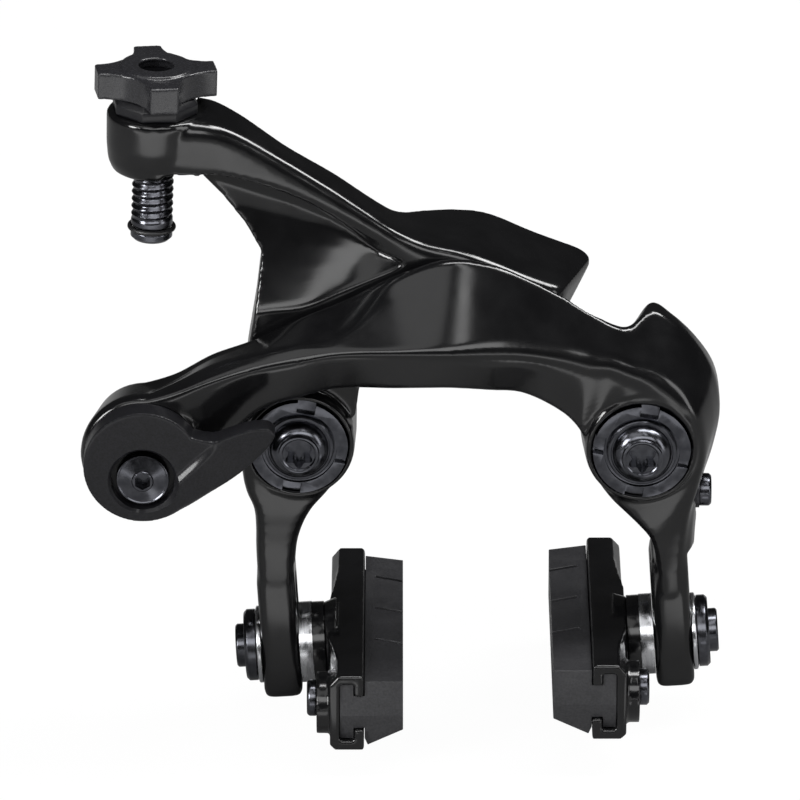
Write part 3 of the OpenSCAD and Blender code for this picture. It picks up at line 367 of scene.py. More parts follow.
def add_light():
    """Light the studio: a dim room, strips overhead, wide boxes to each side and cards on the floor."""
    world = bpy.data.worlds.new("studio")
    bpy.context.scene.world = world
    world.use_nodes = True
    tree = world.node_tree
    tree.nodes.clear()
    ways = add_node(tree, "LightPath")
    room = add_node(tree, "Background", values={"Color": linear("bcbcbc"), "Strength": ROOM_LIGHT})
    white = add_node(tree, "Background", values={"Color": (1, 1, 1, 1), "Strength": 1.0})
    mixed = add_node(
        tree, "MixShader",
        links={0: ways.outputs["Is Camera Ray"], 1: room.outputs[0], 2: white.outputs[0]})
    add_node(tree, "OutputWorld", links={"Surface": mixed.outputs[0]})
    middle = (0, 0, 0)
    # Strips overhead, to the right and in front draw the bright lines along the rounded edges
    softbox("strip_overhead", (0.25, 0.0, 0.97), middle, (0.2, 0.8), 7)
    softbox("strip_right_above", (0.62, 0.2, 0.76), middle, (0.22, 0.4), 5)
    softbox("strip_front", (0.1, -1.0, 0.65), middle, (1.3, 0.4), 6)
    # A narrow box stands where the crease of the front arm looks, with a wide dim one to its left
    softbox("box_crease", (0.19, -0.46, 0.9), middle, (0.1, 0.4), 0.5)
    softbox("box_left_above", (-0.36, -0.46, 0.9), middle, (0.85, 0.45), 1.4)
    # Cards on the floor in front are what the upright faces of the beam and of the two legs show
    card("card_front", -0.02, -0.28, (0.62, 0.11), 0.42)
    card("card_left_leg", -0.032, -0.066, (0.024, 0.024), 0.0026)
    card("card_right_leg", 0.041, -0.066, (0.018, 0.024), 0.002)
    # A box at each side lights the flanks
    softbox("box_right", (0.95, -0.55, 0.15), middle, (0.3, 0.9), 3)
    softbox("box_left", (-0.74, -0.58, 0.36), middle, (0.35, 0.35), 8)


add_camera()
add_floor()
add_light()

bpy.context.scene.view_settings.view_transform = "Standard"

# Pieces shown as the frame has them, each in its own finish
FRAME_FINISHES = {
    "pivot_tubes": dark_steel,
    "left_bush": bright_steel,
    "right_bush": bright_steel,
    "left_spring": bright_steel,
    "right_spring": bright_steel,
    "adjuster_key": dark_steel,
    "link_roller": bright_steel,
    "link_clip": dark_steel,
    "lever_wave_washer": bright_steel,
    "cable_clamp_plate": bright_steel,
    "cable_clamp_nut": bolt_black,
    "centering_washer": dark_steel,
    "barrel_seal": nitrile,
}
for node, material in FRAME_FINISHES.items():
    finish_with(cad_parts[node], material)

# Rings and solids

# A rounded corner reaches at most this share of the way along either of its sides
CORNER_REACH = 0.45
# Points closer than this are one point
SAME_POINT = 0.001


def corner_ring(corners, radii, points=5):
    """Closed ring through a list of corners, each rounded by its own radius."""
    ring = []
    count = len(corners)
    for i, (corner, radius) in enumerate(zip(corners, radii)):
        here = Vector(corner)
        back = Vector(corners[i - 1]) - here
        ahead = Vector(corners[(i + 1) % count]) - here
        start = here + back.normalized() * min(radius, CORNER_REACH * back.length)
        end = here + ahead.normalized() * min(radius, CORNER_REACH * ahead.length)
        for k in range(points):
            t = k / (points - 1)
            ring.append(start * (1 - t) ** 2 + here * 2 * t * (1 - t) + end * t * t)
    return ring


def curve_through(rows, steps):
    """Smooth list of rings that passes through every given ring."""
    out = []
    for i in range(len(rows) - 1):
        a, b = rows[max(i - 1, 0)], rows[i]
        c, d = rows[i + 1], rows[min(i + 2, len(rows) - 1)]
        for k in range(steps):
            t = k / steps
            out.append([
                0.5 * (2 * q + (r - p) * t + (2 * p - 5 * q + 4 * r - s) * t * t
                       + (3 * q - 3 * r + s - p) * t ** 3)
                for p, q, r, s in zip(a, b, c, d)])
    out.append(rows[-1])
    return out


def rounded_end(rings, radius):
    """Draw the last rings in towards their middles, so that the end turns over by a radius."""
    middles = [sum(ring, Vector()) / len(ring) for ring in rings]
    out = []
    for ring, middle in zip(rings, middles):
        left = min((middle - middles[-1]).length, radius)
        inset = radius - math.sqrt(radius ** 2 - (radius - left) ** 2)
        out.append([
            p + (middle - p).normalized() * min(inset, 0.9 * (middle - p).length) for p in ring])
    return out


def new_object(name, points, edges, faces):
    """Make an object of points in metres, and select it alone."""
    data = bpy.data.meshes.new(name)
    data.from_pydata(points, edges, faces)
    thing = bpy.data.objects.new(name, data)
    bpy.context.scene.collection.objects.link(thing)
    only(thing)
    return thing


def merge_and_face_out():
    """Merge the doubles of the mesh in edit mode, and turn its faces outwards."""
    bpy.ops.mesh.select_all(action="SELECT")
    bpy.ops.mesh.remove_doubles(threshold=SAME_POINT * MM)
    bpy.ops.mesh.normals_make_consistent(inside=False)


def skinned(name, rings):
    """Closed mesh over a list of equal rings."""
    count = len(rings[0])
    points = [tuple(p * MM) for ring in rings for p in ring]
    faces = []
    for j in range(len(rings) - 1):
        low, high = j * count, (j + 1) * count
        for i in range(count):
            beside = (i + 1) % count
            faces.append((low + i, low + beside, high + beside, high + i))
    faces.append(tuple(range(count - 1, -1, -1)))
    faces.append(tuple((len(rings) - 1) * count + i for i in range(count)))
    thing = new_object(name, points, [], faces)
    bpy.ops.object.mode_set(mode="EDIT")
    merge_and_face_out()
    bpy.ops.object.mode_set(mode="OBJECT")
    return thing


# Axis of each lathe, and where it puts a radius and a place along the axis
LATHES = {
    "X": ((1, 0, 0), lambda r, t: (t, r, 0)),
    "Y": ((0, 1, 0), lambda r, t: (r, t, 0)),
    "Z": ((0, 0, 1), lambda r, t: (r, 0, t)),
}


def turned(name, profile, axis="Y", steps=96):
    """Solid or ring turned on a lathe: radius and place along the axis, both in millimetres."""
    line, along = LATHES[axis]
    points = [tuple(MM * c for c in along(r, t)) for r, t in profile]
    edges = [(i, i + 1) for i in range(len(points) - 1)]
    # A profile that stays off the axis is closed, and makes a ring
    if profile[0][0] > 0:
        edges.append((len(points) - 1, 0))
    thing = new_object(name, points, edges, [])
    bpy.ops.object.mode_set(mode="EDIT")
    bpy.ops.mesh.select_all(action="SELECT")
    bpy.ops.mesh.spin(steps=steps, angle=FULL_TURN, center=(0, 0, 0), axis=line)
    merge_and_face_out()
    bpy.ops.object.mode_set(mode="OBJECT")
    return thing


def moved(thing, matrix):
    """Move a piece by a matrix written into its mesh, and keep its faces outwards."""
    thing.data.transform(matrix)
    if matrix.determinant() < 0:
        thing.data.flip_normals()
    thing.data.update()
    return thing


def shifted(thing, x, y, z):
    """Move a piece by millimetres written into its mesh."""
    return moved(thing, Matrix.Translation((x * MM, y * MM, z * MM)))


def slab_y(name, outline, y0, y1):
    """Plate of an outline in X and Z, thick from y0 to y1."""
    return skinned(name, [[Vector((x, y, z)) for x, z in outline] for y in (y0, y1)])


def rod_y(name, radius, y0, y1, steps=96):
    """Round bar along Y."""
    return turned(name, [(0, y0), (radius, y0), (radius, y1), (0, y1)], "Y", steps)


def join_all(things):
    """Join several objects into the first."""
    bpy.ops.object.select_all(action="DESELECT")
    for thing in things:
        thing.select_set(True)
    bpy.context.view_layer.objects.active = things[0]
    bpy.ops.object.join()
    return things[0]


def cut(thing, cutters):
    """Take the cutters away from a solid."""
    for cutter in cutters:
        apply_modifier(thing, "BOOLEAN", operation="DIFFERENCE", object=cutter, solver="MANIFOLD")
        bpy.data.objects.remove(cutter)


def forged(thing, cell, rounds):
    """Fuse the overlapping solids of a piece, and soften its edges in rounds as a polish leaves them."""
    apply_modifier(thing, "REMESH", mode="VOXEL", voxel_size=cell * MM, use_smooth_shade=True)
    apply_modifier(thing, "SMOOTH", factor=0.5, iterations=rounds)
    only(thing)
    bpy.ops.object.shade_smooth()


# Places on the arms, as in the part's source

PIVOT_X = 28
ARCH_BACK = -18.3
WEB_FRONT = -17.7
WEB_BACK = -9.7
LEG_FRONT = -17.7
LEG_BACK = -5.3
LEG_MID = -11.5
LEFT_FACE = -20.6
RIGHT_FACE = -22.4
BOSS_BACK = -3.3
SEAT_HALF = 3.2
LEVER_AT = (-53.2, 0, 2.4)
CENTERING_SCREW_AT = (37.1, -12, -11.4)
ADJUSTER_AT = (-51, -16, 57.6)
ADJUSTER_LEAN = 2.2
ADJUSTER_PLACE = (
    Matrix.Translation([c * MM for c in ADJUSTER_AT])
    @ Matrix.Rotation(math.radians(ADJUSTER_LEAN), 4, "Y"))

ARM_CELL = 0.33
LEVER_CELL = 0.22
KNOB_CELL = 0.2
HOLDER_CELL = 0.28
THREAD_STEPS = 96

# Sections of the forged arms

# The lower face of the front arm falls by this share of its undercut
UNDERCUT_FALL = 0.43


def arm_section(inner, front, ridge, shoulder, outer, crest, back, undercut=2.2, soft=1.0, fall=0):
    """Ring across the front arm, from its inner edge over the ridge to its outer edge.

    The lower face slants back by undercut, the ridge is rounded by soft, and the outer face
    falls by fall towards the back.
    """
    corners = [
        (inner[0], back, inner[1]), (inner[0], front + undercut, inner[1] - UNDERCUT_FALL * undercut),
        ridge, shoulder, (outer[0], crest, outer[1]), (outer[0], back, outer[1] - fall)]
    return corner_ring(corners, (1.4, 1.2, soft, 0.6, 0.8, 1.2))


def beam_section(*corners):
    """Ring across the beam of the rear arm, through its six corners."""
    return corner_ring(corners, (2.2, 2.4, 1, 1, 0.8, 0.8))


def beam_slice(x, *corners):
    """Ring across the beam of the rear arm at one X, from corners in Y and Z."""
    return beam_section(*[(x, y, z) for y, z in corners])


def leg_section(z, x0, x1, front, back):
    """Ring across the left leg at one height."""
    return corner_ring([(x0, back, z), (x0, front, z), (x1, front, z), (x1, back, z)], (1.6,) * 4)


# The front arm from the lever's eye to the right leg. Each row holds the inner edge in X and Z, the
# front in Y, the ridge and the shoulder, and then the outer edge in X and Z, the crest and the back in Y
right_sections = [
    arm_section(
        [-50, -6.6], -30, [-53.4, -30, 12.2], [-53.4, -28, 12.2],
        [-53.5, 10.8], -25, ARCH_BACK, 0),
    arm_section(
        [-46.6, -3.2], -30, [-48.5, -30, 13.4], [-48.3, -27, 14.1],
        [-48, 12.6], -22.4, ARCH_BACK, 0.8),
    arm_section(
        [-41, 3.5], -30, [-42, -30, 15.7], [-42, -27, 17.2],
        [-42, 16], -21, ARCH_BACK, 3.4),
    arm_section(
        [-34.8, 9.4], -29.2, [-35.7, -30, 17.6], [-35.6, -27.5, 19.4],
        [-35.5, 18.4], -20, ARCH_BACK, 3.4),
    arm_section(
        [-27.9, 12], -29, [-28.5, -30, 18.9], [-28.3, -28, 21],
        [-28, 22.2], -20, ARCH_BACK, 3.4),
    arm_section(
        [-21.4, 13.6], -28.8, [-21.5, -30.1, 20.2], [-21.3, -28, 22.2],
        [-21, 25.2], -19.8, ARCH_BACK, 3.4),
    arm_section(
        [-12.2, 13.5], -28.6, [-12.3, -30.2, 20.5], [-12.3, -23.4, 27],
        [-12.2, 29.8], -20.3, ARCH_BACK),
    arm_section(
        [-3.8, 13.4], -28.2, [-4, -30.3, 20.4], [-4, -21.6, 30.6],
        [-4, 32.6], -19.9, ARCH_BACK, soft=1.6),
    arm_section(
        [3, 12.4], -26.8, [3, -29.3, 20], [3.2, -21.2, 29.7],
        [3.4, 31.7], -19.5, ARCH_BACK, soft=2.6),
    arm_section(
        [8.6, 11.1], -25, [8.7, -27.9, 19.2], [9, -20.8, 27.4],
        [9.2, 29.2], -19.2, ARCH_BACK, soft=2.8),
    arm_section(
        [14.6, 7], -22.8, [15, -26.2, 17.9], [15.2, -20.3, 24.2],
        [15.3, 25.8], -18.8, ARCH_BACK, 0.8, 2.8),
    arm_section(
        [17.8, 3.2], -21.9, [19.3, -25, 16.4], [19.8, -20.1, 21.5],
        [20, 22.9], -18.8, ARCH_BACK, 0.8, 2.8, 0.4),
    arm_section(
        [19, -0.6], -21.6, [23, -24, 15.6], [23.1, -20.5, 19.1],
        [23.4, 21], -18.6, -15, soft=2.8, fall=2),
    arm_section(
        [20.1, -3.8], -21.4, [26.6, -23.3, 14.1], [26.1, -19.7, 17.7],
        [26, 20.2], -17.2, -13, soft=2.8, fall=2.2),
    arm_section(
        [21.2, -6.7], -21.3, [29.5, -22.8, 12.9], [29.3, -17.2, 18.5],
        [29.5, 21.6], -14.4, -10, soft=2.8),
    arm_section(
        [23.2, -9.6], -21, [32.6, -22.5, 10.9], [32.5, -15.6, 17.8],
        [33, 19.5], -13.9, -9.7, 0, 2.6),
    arm_section(
        [25.7, -12.3], -20.7, [35.6, -22.3, 7.9], [36.4, -15.8, 13.8],
        [37.1, 15.1], -13.5, -9, 0, 2.4),
    arm_section(
        [27.9, -14.8], -20.3, [37.6, -21.9, 3.4], [39.1, -16.5, 8.5],
        [40.1, 9.8], -13.5, -8, 0, 2.2),
    arm_section(
        [29.5, -17], -19.8, [38.2, -21.3, -2.2], [39.9, -16.8, 2.5],
        [41, 3.5], -13.5, -7, 0, 2),
    arm_section(
        [30.3, -19.4], -19.2, [37.5, -20.3, -7.2], [38.9, -17, -3.2],
        [40, -2.6], -13.5, -6, 0, 1.8),
    arm_section(
        [30.7, -22], -18.6, [35.8, -19.3, -13.6], [37.3, -17, -10],
        [38.1, -9.4], -13.5, -5.6, 0),
    arm_section(
        [30.8, -25], -18, [34.8, -18.4, -21], [36.5, -16.8, -18.4],
        [37.2, -17.6], -14, -5.4, 0),
    arm_section(
        [30.8, -28.5], -17.7, [34, -17.9, -28], [36.1, -17.3, -27.4],
        [36.9, -27], -15.5, LEG_BACK, 0),
]
# The beam of the rear arm from the cable adjuster to its tip, each row from the lower front corner
# over the top to the lower back corner
left_sections = [
    beam_slice(
        -50, [-23.3, 48.2], [-23.3, 57.2], [-11.6, 57.4],
        [-11.6, 54.5], [-11.6, 51], [-12, 48.2]),
    beam_slice(
        -43.5, [-21.9, 46.9], [-21.9, 56.7], [-11.8, 58.3],
        [-11.8, 54.5], [-11.8, 51], [-12.3, 46.7]),
    beam_slice(
        -38, [-20.7, 45.7], [-20.5, 54.7], [-12, 55.9],
        [-12, 52.3], [-12, 48.4], [-12.4, 45]),
    beam_slice(
        -30, [-19.6, 43.2], [-19.3, 49.6], [-11.8, 49.9],
        [-11.8, 47.4], [-11.8, 44.8], [-12.2, 42]),
    beam_slice(
        -22.3, [-18.9, 38.8], [-18.9, 44.3], [-11, 44.8],
        [-11, 42], [-11, 39.4], [-11.4, 36.6]),
    beam_slice(
        -16, [-18.2, 34.6], [-18.5, 39.7], [-10.2, 40],
        [-10.2, 37], [-10.2, 34], [-10.4, 30.4]),
    beam_slice(
        -12, [WEB_FRONT, 31], [-18.1, 36.9], [-7, 36.5],
        [-7, 32], [-7.5, 28.4], [-8.8, 25.4]),
    beam_slice(
        -7.5, [WEB_FRONT, 24], [-17.9, 34.7], [-1.6, 34.4],
        [-1.6, 28], [-3.7, 25], [-5.2, 21]),
    beam_slice(
        -1.5, [WEB_FRONT, 18.6], [-17.8, 33.1], [-0.2, 34],
        [-0.2, 26], [-3, 23.6], [-3.4, 18.6]),
    beam_slice(
        3.5, [WEB_FRONT, 17.8], [-17.8, 31.1], [-0.2, 33.2],
        [-0.2, 25.5], [-3, 23], [-3.4, 17.8]),
    beam_section(
        [9, WEB_FRONT, 17.6], [9, -17.8, 28.7], [11, -0.2, 29.9],
        [10.8, -0.2, 24.4], [10.4, -3, 22.7], [10, -3.4, 17.6]),
    beam_section(
        [14, WEB_FRONT, 18.4], [15.3, -17.8, 26.3], [21.2, -0.2, 26],
        [18.4, -0.2, 22.6], [15.8, -3, 21], [14.4, -3.4, 18.4]),
]
# The left leg from the pivot down: height, left and right side, front and back
left_leg_sections = [
    leg_section(3, -37.2, -19, LEFT_FACE, BOSS_BACK),
    leg_section(-3.9, -37.4, -20.3, LEFT_FACE, BOSS_BACK),
    leg_section(-8.3, -36.8, -23.2, -20.2, BOSS_BACK),
    leg_section(-12, -35.5, -26, -19.6, -3.8),
    leg_section(-15.8, -35.2, -27.7, -18.9, -4.4),
    leg_section(-20, -35.2, -28.6, -18.3, -5),
    leg_section(-27, -34.9, -28.9, LEG_FRONT, LEG_BACK),
]
# Outlines in X and Z of the web, and of the ledge under its scooped pocket
web_outline = [
    [-37.3, 2], [-36.9, 10], [-36.2, 16.3], [-34.9, 24.3], [-34, 31.9], [-36.6, 36.4], [-39.9, 40.6],
    [-43.6, 44.6], [-47, 49], [-36, 50], [-22, 42], [-8, 32], [-6, 18], [-12, 13.2], [-18, 10],
    [-18.8, 4],
]
ledge_outline = [
    [-37.3, 2], [-36.9, 11], [-36.2, 16.3], [-35.3, 20], [-34, 21.2], [-22, 26.2], [-13, 31], [-5, 31],
    [0, 30], [0, 18], [-8, 16.5], [-14, 13.5], [-18, 10.5], [-18.8, 5],
]


def seat_matrix(x, z, tilt, mirrored):
    """Frame of a shoe bolt: X from the arm to the rim, Z up along the slot."""
    turn = Matrix.Rotation(math.radians(-tilt), 4, "Y")
    flip = Matrix.Diagonal((-1, 1, 1, 1)) if mirrored else Matrix.Identity(4)
    return Matrix.Translation((x * MM, LEG_MID * MM, z * MM)) @ turn @ flip


LEFT_SEAT = seat_matrix(-31.2, -39.6, 3.5, False)
RIGHT_SEAT = seat_matrix(33.8, -37.6, 3.9, True)

# Foot of an arm: half its width, its lowest level, its share of the full thickness and width there,
# and the radius of its corners
FOOT_HALF = 6.2
FOOT_LOW = -7.4
FOOT_LOW_DRAW = (0.8, 0.85)
FOOT_CORNER = 1.5
# Levels of the foot, each with its share of the full section, less at both ends to turn them over
FOOT_LEVELS = ((-7.1, 0.93), (-6.3, 1.0), (13.4, 1.0), (15.5, 0.88))
# The width is drawn in a little less than the thickness
FOOT_WIDTH_SHARE = 1.03

# Slot for the shoe bolt: half its width, its top and the radius of its corners
SLOT_HALF = 3.25
SLOT_TOP = 12.25
SLOT_CORNER = 3.2
# The flats lie a hair below the washers' faces, so that the washers slide free along the slot
FLAT_FACE = SEAT_HALF - 0.03
# Reach of the flats' cutters: outwards, to each side and below, and up
FLAT_OUT = 8.2
FLAT_HALF = 9.3
FLAT_TOP = 17


def foot(name, seat):
    """Flat foot of an arm, rounded at its lower edges, in place."""
    corners = [
        (-SEAT_HALF, -FOOT_HALF, 0), (SEAT_HALF, -FOOT_HALF, 0),
        (SEAT_HALF, FOOT_HALF, 0), (-SEAT_HALF, FOOT_HALF, 0)]
    block = corner_ring(corners, (FOOT_CORNER,) * 4)
    thin, narrow = FOOT_LOW_DRAW
    rings = [[Vector((p.x * thin, p.y * narrow, FOOT_LOW)) for p in block]]
    for z, share in FOOT_LEVELS:
        rings.append([Vector((p.x * share, p.y * min(1, share * FOOT_WIDTH_SHARE), z)) for p in block])
    return moved(skinned(name, rings), seat)


def foot_cutters(seat):
    """Slot for the shoe bolt, and the flats for its washers."""
    corners = [
        (-SLOT_HALF, -SLOT_HALF, 0), (SLOT_HALF, -SLOT_HALF, 0),
        (SLOT_HALF, SLOT_TOP, 0), (-SLOT_HALF, SLOT_TOP, 0)]
    slot = corner_ring(corners, (SLOT_CORNER,) * 4, 9)
    out = [moved(skinned("slot", [[Vector((x, p.x, p.y)) for p in slot] for x in (-8, 8)]), seat)]
    box = [(-FLAT_HALF, -FLAT_HALF), (FLAT_HALF, -FLAT_HALF), (FLAT_HALF, FLAT_TOP), (-FLAT_HALF, FLAT_TOP)]
    for sides in ((-FLAT_OUT, -FLAT_FACE), (FLAT_FACE, FLAT_OUT)):
        out.append(moved(skinned("flat", [[Vector((x, y, z)) for y, z in box] for x in sides]), seat))
    return out


def pivot_cutters(x, recess_floor):
    """Bore for the bush, recess for the ring nut in front, and pocket for the spring behind."""
    return [
        shifted(rod_y("bore", 6.04, -30, 1), x, 0, 0),
        shifted(rod_y("recess", 8.2, -30, recess_floor), x, 0, 0),
        shifted(rod_y("pocket", 8.1, -10.9, 1), x, 0, 0)]


# Turned solids and cutters of the arms: radius and place along the axis
EYE = [
    (0, -30), (9.2, -30), (9.9, -29.6), (10.2, -28.8), (10.2, -28), (8.2, ARCH_BACK), (0, ARCH_BACK)]
RIGHT_HUB = [
    (0, RIGHT_FACE), (9, RIGHT_FACE), (9.3, -20.9), (9.8, -14), (10.2, BOSS_BACK), (0, BOSS_BACK)]
LEFT_HUB = [
    (0, LEFT_FACE), (8.9, LEFT_FACE), (9.1, -19.6), (9.4, -12), (9.4, BOSS_BACK), (0, BOSS_BACK)]
SCREW_BOSS = [(0, 0), (3.2, 0), (3.2, -4.5), (0, -4.5)]
SCREW_FLAT = [(0, 0), (3.7, 0), (3.7, 6), (0, 6)]
BARREL_BOSS = [
    (0, -10.6), (5.4, -10.6), (6.7, -10.0), (7.4, -8.4), (7.7, -5.6), (7.8, -0.5), (7.4, 0), (0, 0)]
BARREL_BORE = [
    (0, -14), (3.44, -14), (3.44, -1.3), (5.24, -1.3), (5.24, 0), (7.7, 0), (7.7, 5), (0, 5)]


def make_front_arm():
    """Front arm: the arch from the lever's eye over the ridge to the right leg."""
    arm = join_all([
        skinned("right_arm_forging", curve_through(right_sections, 8)),
        shifted(turned("eye", EYE), *LEVER_AT),
        shifted(turned("hub", RIGHT_HUB), PIVOT_X, 0, 0),
        foot("foot", RIGHT_SEAT),
        shifted(turned("screw_boss", SCREW_BOSS, "X"), *CENTERING_SCREW_AT),
    ])
    forged(arm, ARM_CELL, 2)
    cut(arm, [
        *pivot_cutters(PIVOT_X, -20.0),
        shifted(rod_y("drum_bore", 6.64, -32, -10), *LEVER_AT),
        shifted(rod_y("washer_recess", 8.7, -32, -29.4), *LEVER_AT),
        shifted(turned("screw_flat", SCREW_FLAT, "X"), *CENTERING_SCREW_AT),
        *foot_cutters(RIGHT_SEAT),
    ])
    forged(arm, ARM_CELL, 8)
    place(arm, arm_black, "right_arm", "arm_black", "right_arm")


# Power that bends a sine or cosine so that the pocket's sections are rounded squares
SQUARENESS = 0.75
# X of each station, middle and half height in Z, and depth behind the web's front
SCOOP_STATIONS = [
    (-11.2, 31.2, 0.3, 0.6), (-13, 31.1, 1.2, 1.8), (-16, 31.3, 2.7, 3.2), (-21, 32.5, 6.2, 4.2),
    (-27, 33.2, 9.6, 4.6), (-33, 34.2, 11.4, 4.7), (-40, 35.3, 13.5, 4.8), (-50, 37, 15.5, 4.9)]
SCOOP_POINTS = 24
# How far the cutter stands out of the web's front
SCOOP_PROUD = 6


def squared(value):
    """Bend a sine or cosine towards a rounded square."""
    return math.copysign(abs(value) ** SQUARENESS, value)


def scoop():
    """Cutter for the pocket in the web: a hollow that opens to the left and runs out to a point."""
    rings = []
    for x, middle, half, deep in SCOOP_STATIONS:
        ring = []
        for k in range(SCOOP_POINTS):
            turn = FULL_TURN * k / SCOOP_POINTS
            up, out = math.cos(turn), math.sin(turn)
            # The floor of the hollow leans back towards its top
            lean = 0.2 + 0.65 * (1 + squared(up))
            y = WEB_FRONT + squared(out) * (deep * lean if out > 0 else SCOOP_PROUD)
            ring.append(Vector((x, y, middle + half * squared(up))))
        rings.append(ring)
    return skinned("scoop", curve_through(rings, 6))


def make_rear_arm():
    """Rear arm: the beam to the cable adjuster, the web with its scooped pocket, and the left leg."""
    arm = join_all([
        skinned("left_arm_forging", rounded_end(curve_through(left_sections, 10), 2.6)),
        skinned("leg", curve_through(left_leg_sections, 8)),
        shifted(turned("hub", LEFT_HUB), -PIVOT_X, 0, 0),
        slab_y("web", web_outline, WEB_FRONT, WEB_BACK),
        slab_y("ledge", ledge_outline, WEB_FRONT, WEB_BACK),
        moved(turned("boss", BARREL_BOSS, "Z"), ADJUSTER_PLACE),
        foot("foot", LEFT_SEAT),
    ])
    forged(arm, ARM_CELL, 2)
    cut(arm, [
        scoop(),
        *pivot_cutters(-PIVOT_X, -18.2),
        moved(turned("barrel_bore", BARREL_BORE, "Z"), ADJUSTER_PLACE),
        *foot_cutters(LEFT_SEAT),
    ])
    forged(arm, ARM_CELL, 7)
    place(arm, arm_black, "left_arm", "arm_black", "left_arm")


# Turned and stamped parts that keep their CAD shape: edge width in mm, finish, body and slot
EASED = {
    "ring_nuts": (0.2, bolt_black, "mount", "dark_steel"),
    "centering_screw": (0.25, bolt_black, "centering_screw", "dark_steel"),
}
for side in ("left", "right"):
    EASED[side + "_seat_washer_outer"] = (0.15, bright_steel, side + "_carrier", "bright_steel")
    EASED[side + "_seat_washer_inner"] = (0.15, bright_steel, side + "_carrier", "bright_steel")
    EASED[side + "_dome_washer"] = (0.25, arm_black, side + "_shoe_tilt", "holder_black")
    EASED[side + "_shoe_bolt"] = (0.3, bolt_black, side + "_shoe_tilt", "dark_steel")
    EASED[side + "_pad_screw"] = (0.3, bolt_black, side + "_shoe", "dark_steel")


def make_eased_parts():
    """Washers, ring nuts and screws: the CAD's own shapes with their edges broken."""
    for node, (width, material, body, slot) in EASED.items():
        piece = copy_of(node, node + "_eased")
        ease_edges(piece, width)
        place(piece, material, body, slot, node)


# Half width and height of the oval that the rim of the guessed back plate follows, and the share of
# that oval from which a point belongs to the rim
PLATE_HALF_WIDTH = 31.5
PLATE_HEIGHT = 21.5
PLATE_RIM_FROM = 0.97
# The rim is lowered above this level, to this share of its height
PLATE_LEVEL = 9
PLATE_LOWERED = 0.87
# Depth of the pin's front end, and how far that end is drawn back
PIN_END = 0.3
PIN_DRAWN_BACK = 1.2


def make_back_plate():
    """Guessed plate behind the arms, low enough that the arms hide it as in the photograph."""
    plate = copy_of("back_plate", "back_plate_low")
    for vertex in plate.data.vertices:
        x, z = vertex.co.x / MM, vertex.co.z / MM
        if z > PLATE_LEVEL and math.hypot(x / PLATE_HALF_WIDTH, z / PLATE_HEIGHT) > PLATE_RIM_FROM:
            vertex.co.z *= PLATE_LOWERED
    place(plate, lever_grey, "mount", "plate_grey", "back_plate")


def make_link_pin():
    """Guessed pin of the link, short enough to stay inside the front arm's softened skin."""
    pin = copy_of("link_pin", "link_pin_short")
    tip = min(vertex.co.y for vertex in pin.data.vertices)
    for vertex in pin.data.vertices:
        if vertex.co.y < tip + PIN_END * MM:
            vertex.co.y += PIN_DRAWN_BACK * MM
    place(pin, dark_steel, "right_arm", "dark_steel", "link_pin")


def soft_copy(node, cell, rounds):
    """Copy a CAD node, fuse it finely, and soften its edges as a casting's are."""
    thing = copy_of(node, node + "_soft")
    apply_modifier(thing, "REMESH", mode="VOXEL", voxel_size=cell * MM, use_smooth_shade=True)
    apply_modifier(thing, "SMOOTH", factor=0.5, iterations=rounds)
    return thing


def make_knob():
    """Moulded knob of the cable adjuster, soft all over."""
    knob = soft_copy("adjuster_knob", KNOB_CELL, 7)
    place(knob, knob_grey, "adjuster_nut", "knob_grey", "adjuster_knob")


# Height of the crease across each pad's near end, how deep that end is, and how far it breaks
# outwards for each millimetre above and below the crease
PAD_CREASES = {"left": -41.3, "right": -39.3}
PAD_END = 0.9
BREAK_ABOVE = 0.08
BREAK_BELOW = 0.2


def make_shoe(side):
    """Moulded pad whose near end breaks outwards along a level crease, and its cast holder."""
    crease = PAD_CREASES[side]
    pad = copy_of(side + "_brake_pad", side + "_brake_pad_creased")
    bpy.ops.object.mode_set(mode="EDIT")
    bpy.ops.mesh.select_all(action="SELECT")
    bpy.ops.mesh.bisect(plane_co=(0, 0, crease * MM), plane_no=(0, 0, 1))
    bpy.ops.object.mode_set(mode="OBJECT")
    near = min(vertex.co.y for vertex in pad.data.vertices)
    for vertex in pad.data.vertices:
        above = vertex.co.z - crease * MM
        if vertex.co.y < near + PAD_END * MM:
            vertex.co.y += BREAK_ABOVE * above if above > 0 else -BREAK_BELOW * above
    ease_edges(pad, 0.38, corner=14)
    place(pad, compound, side + "_shoe", "pad_rubber", side + "_brake_pad")
    holder = soft_copy(side + "_shoe_holder", HOLDER_CELL, 3)
    place(holder, arm_black, side + "_shoe", "holder_black", side + "_shoe_holder")


def eased(t):
    """Go smoothly from 0 to 1 while t does."""
    t = min(max(t, 0), 1)
    return t * t * (3 - 2 * t)


# Lever: front and back faces of the plate, radius of its round end, and how far its finger stands proud
LEVER_FRONT = -34.4
LEVER_BACK = -30.1
LEVER_ROUND = 9.6
FINGER_PROUD = 0.75
# What lies further than this behind the front face isn't raised
FINGER_DEPTH = 1.5
# The crease starts here, in X and Z, and runs this way
CREASE_START = Vector((5.1, -2.7))
CREASE_ALONG = Vector((6.7, 6.55)).normalized()
CREASE_ACROSS = Vector((CREASE_ALONG.y, -CREASE_ALONG.x))
# The rise comes in from 7 mm before the crease's start and is gone 11.5 mm after it, over 8 mm each
RISE_FROM = -7
RISE_TO = 11.5
RISE_EASE = 8
# The finger sinks again by this share of the distance beyond the crease
FINGER_FALL = 0.1
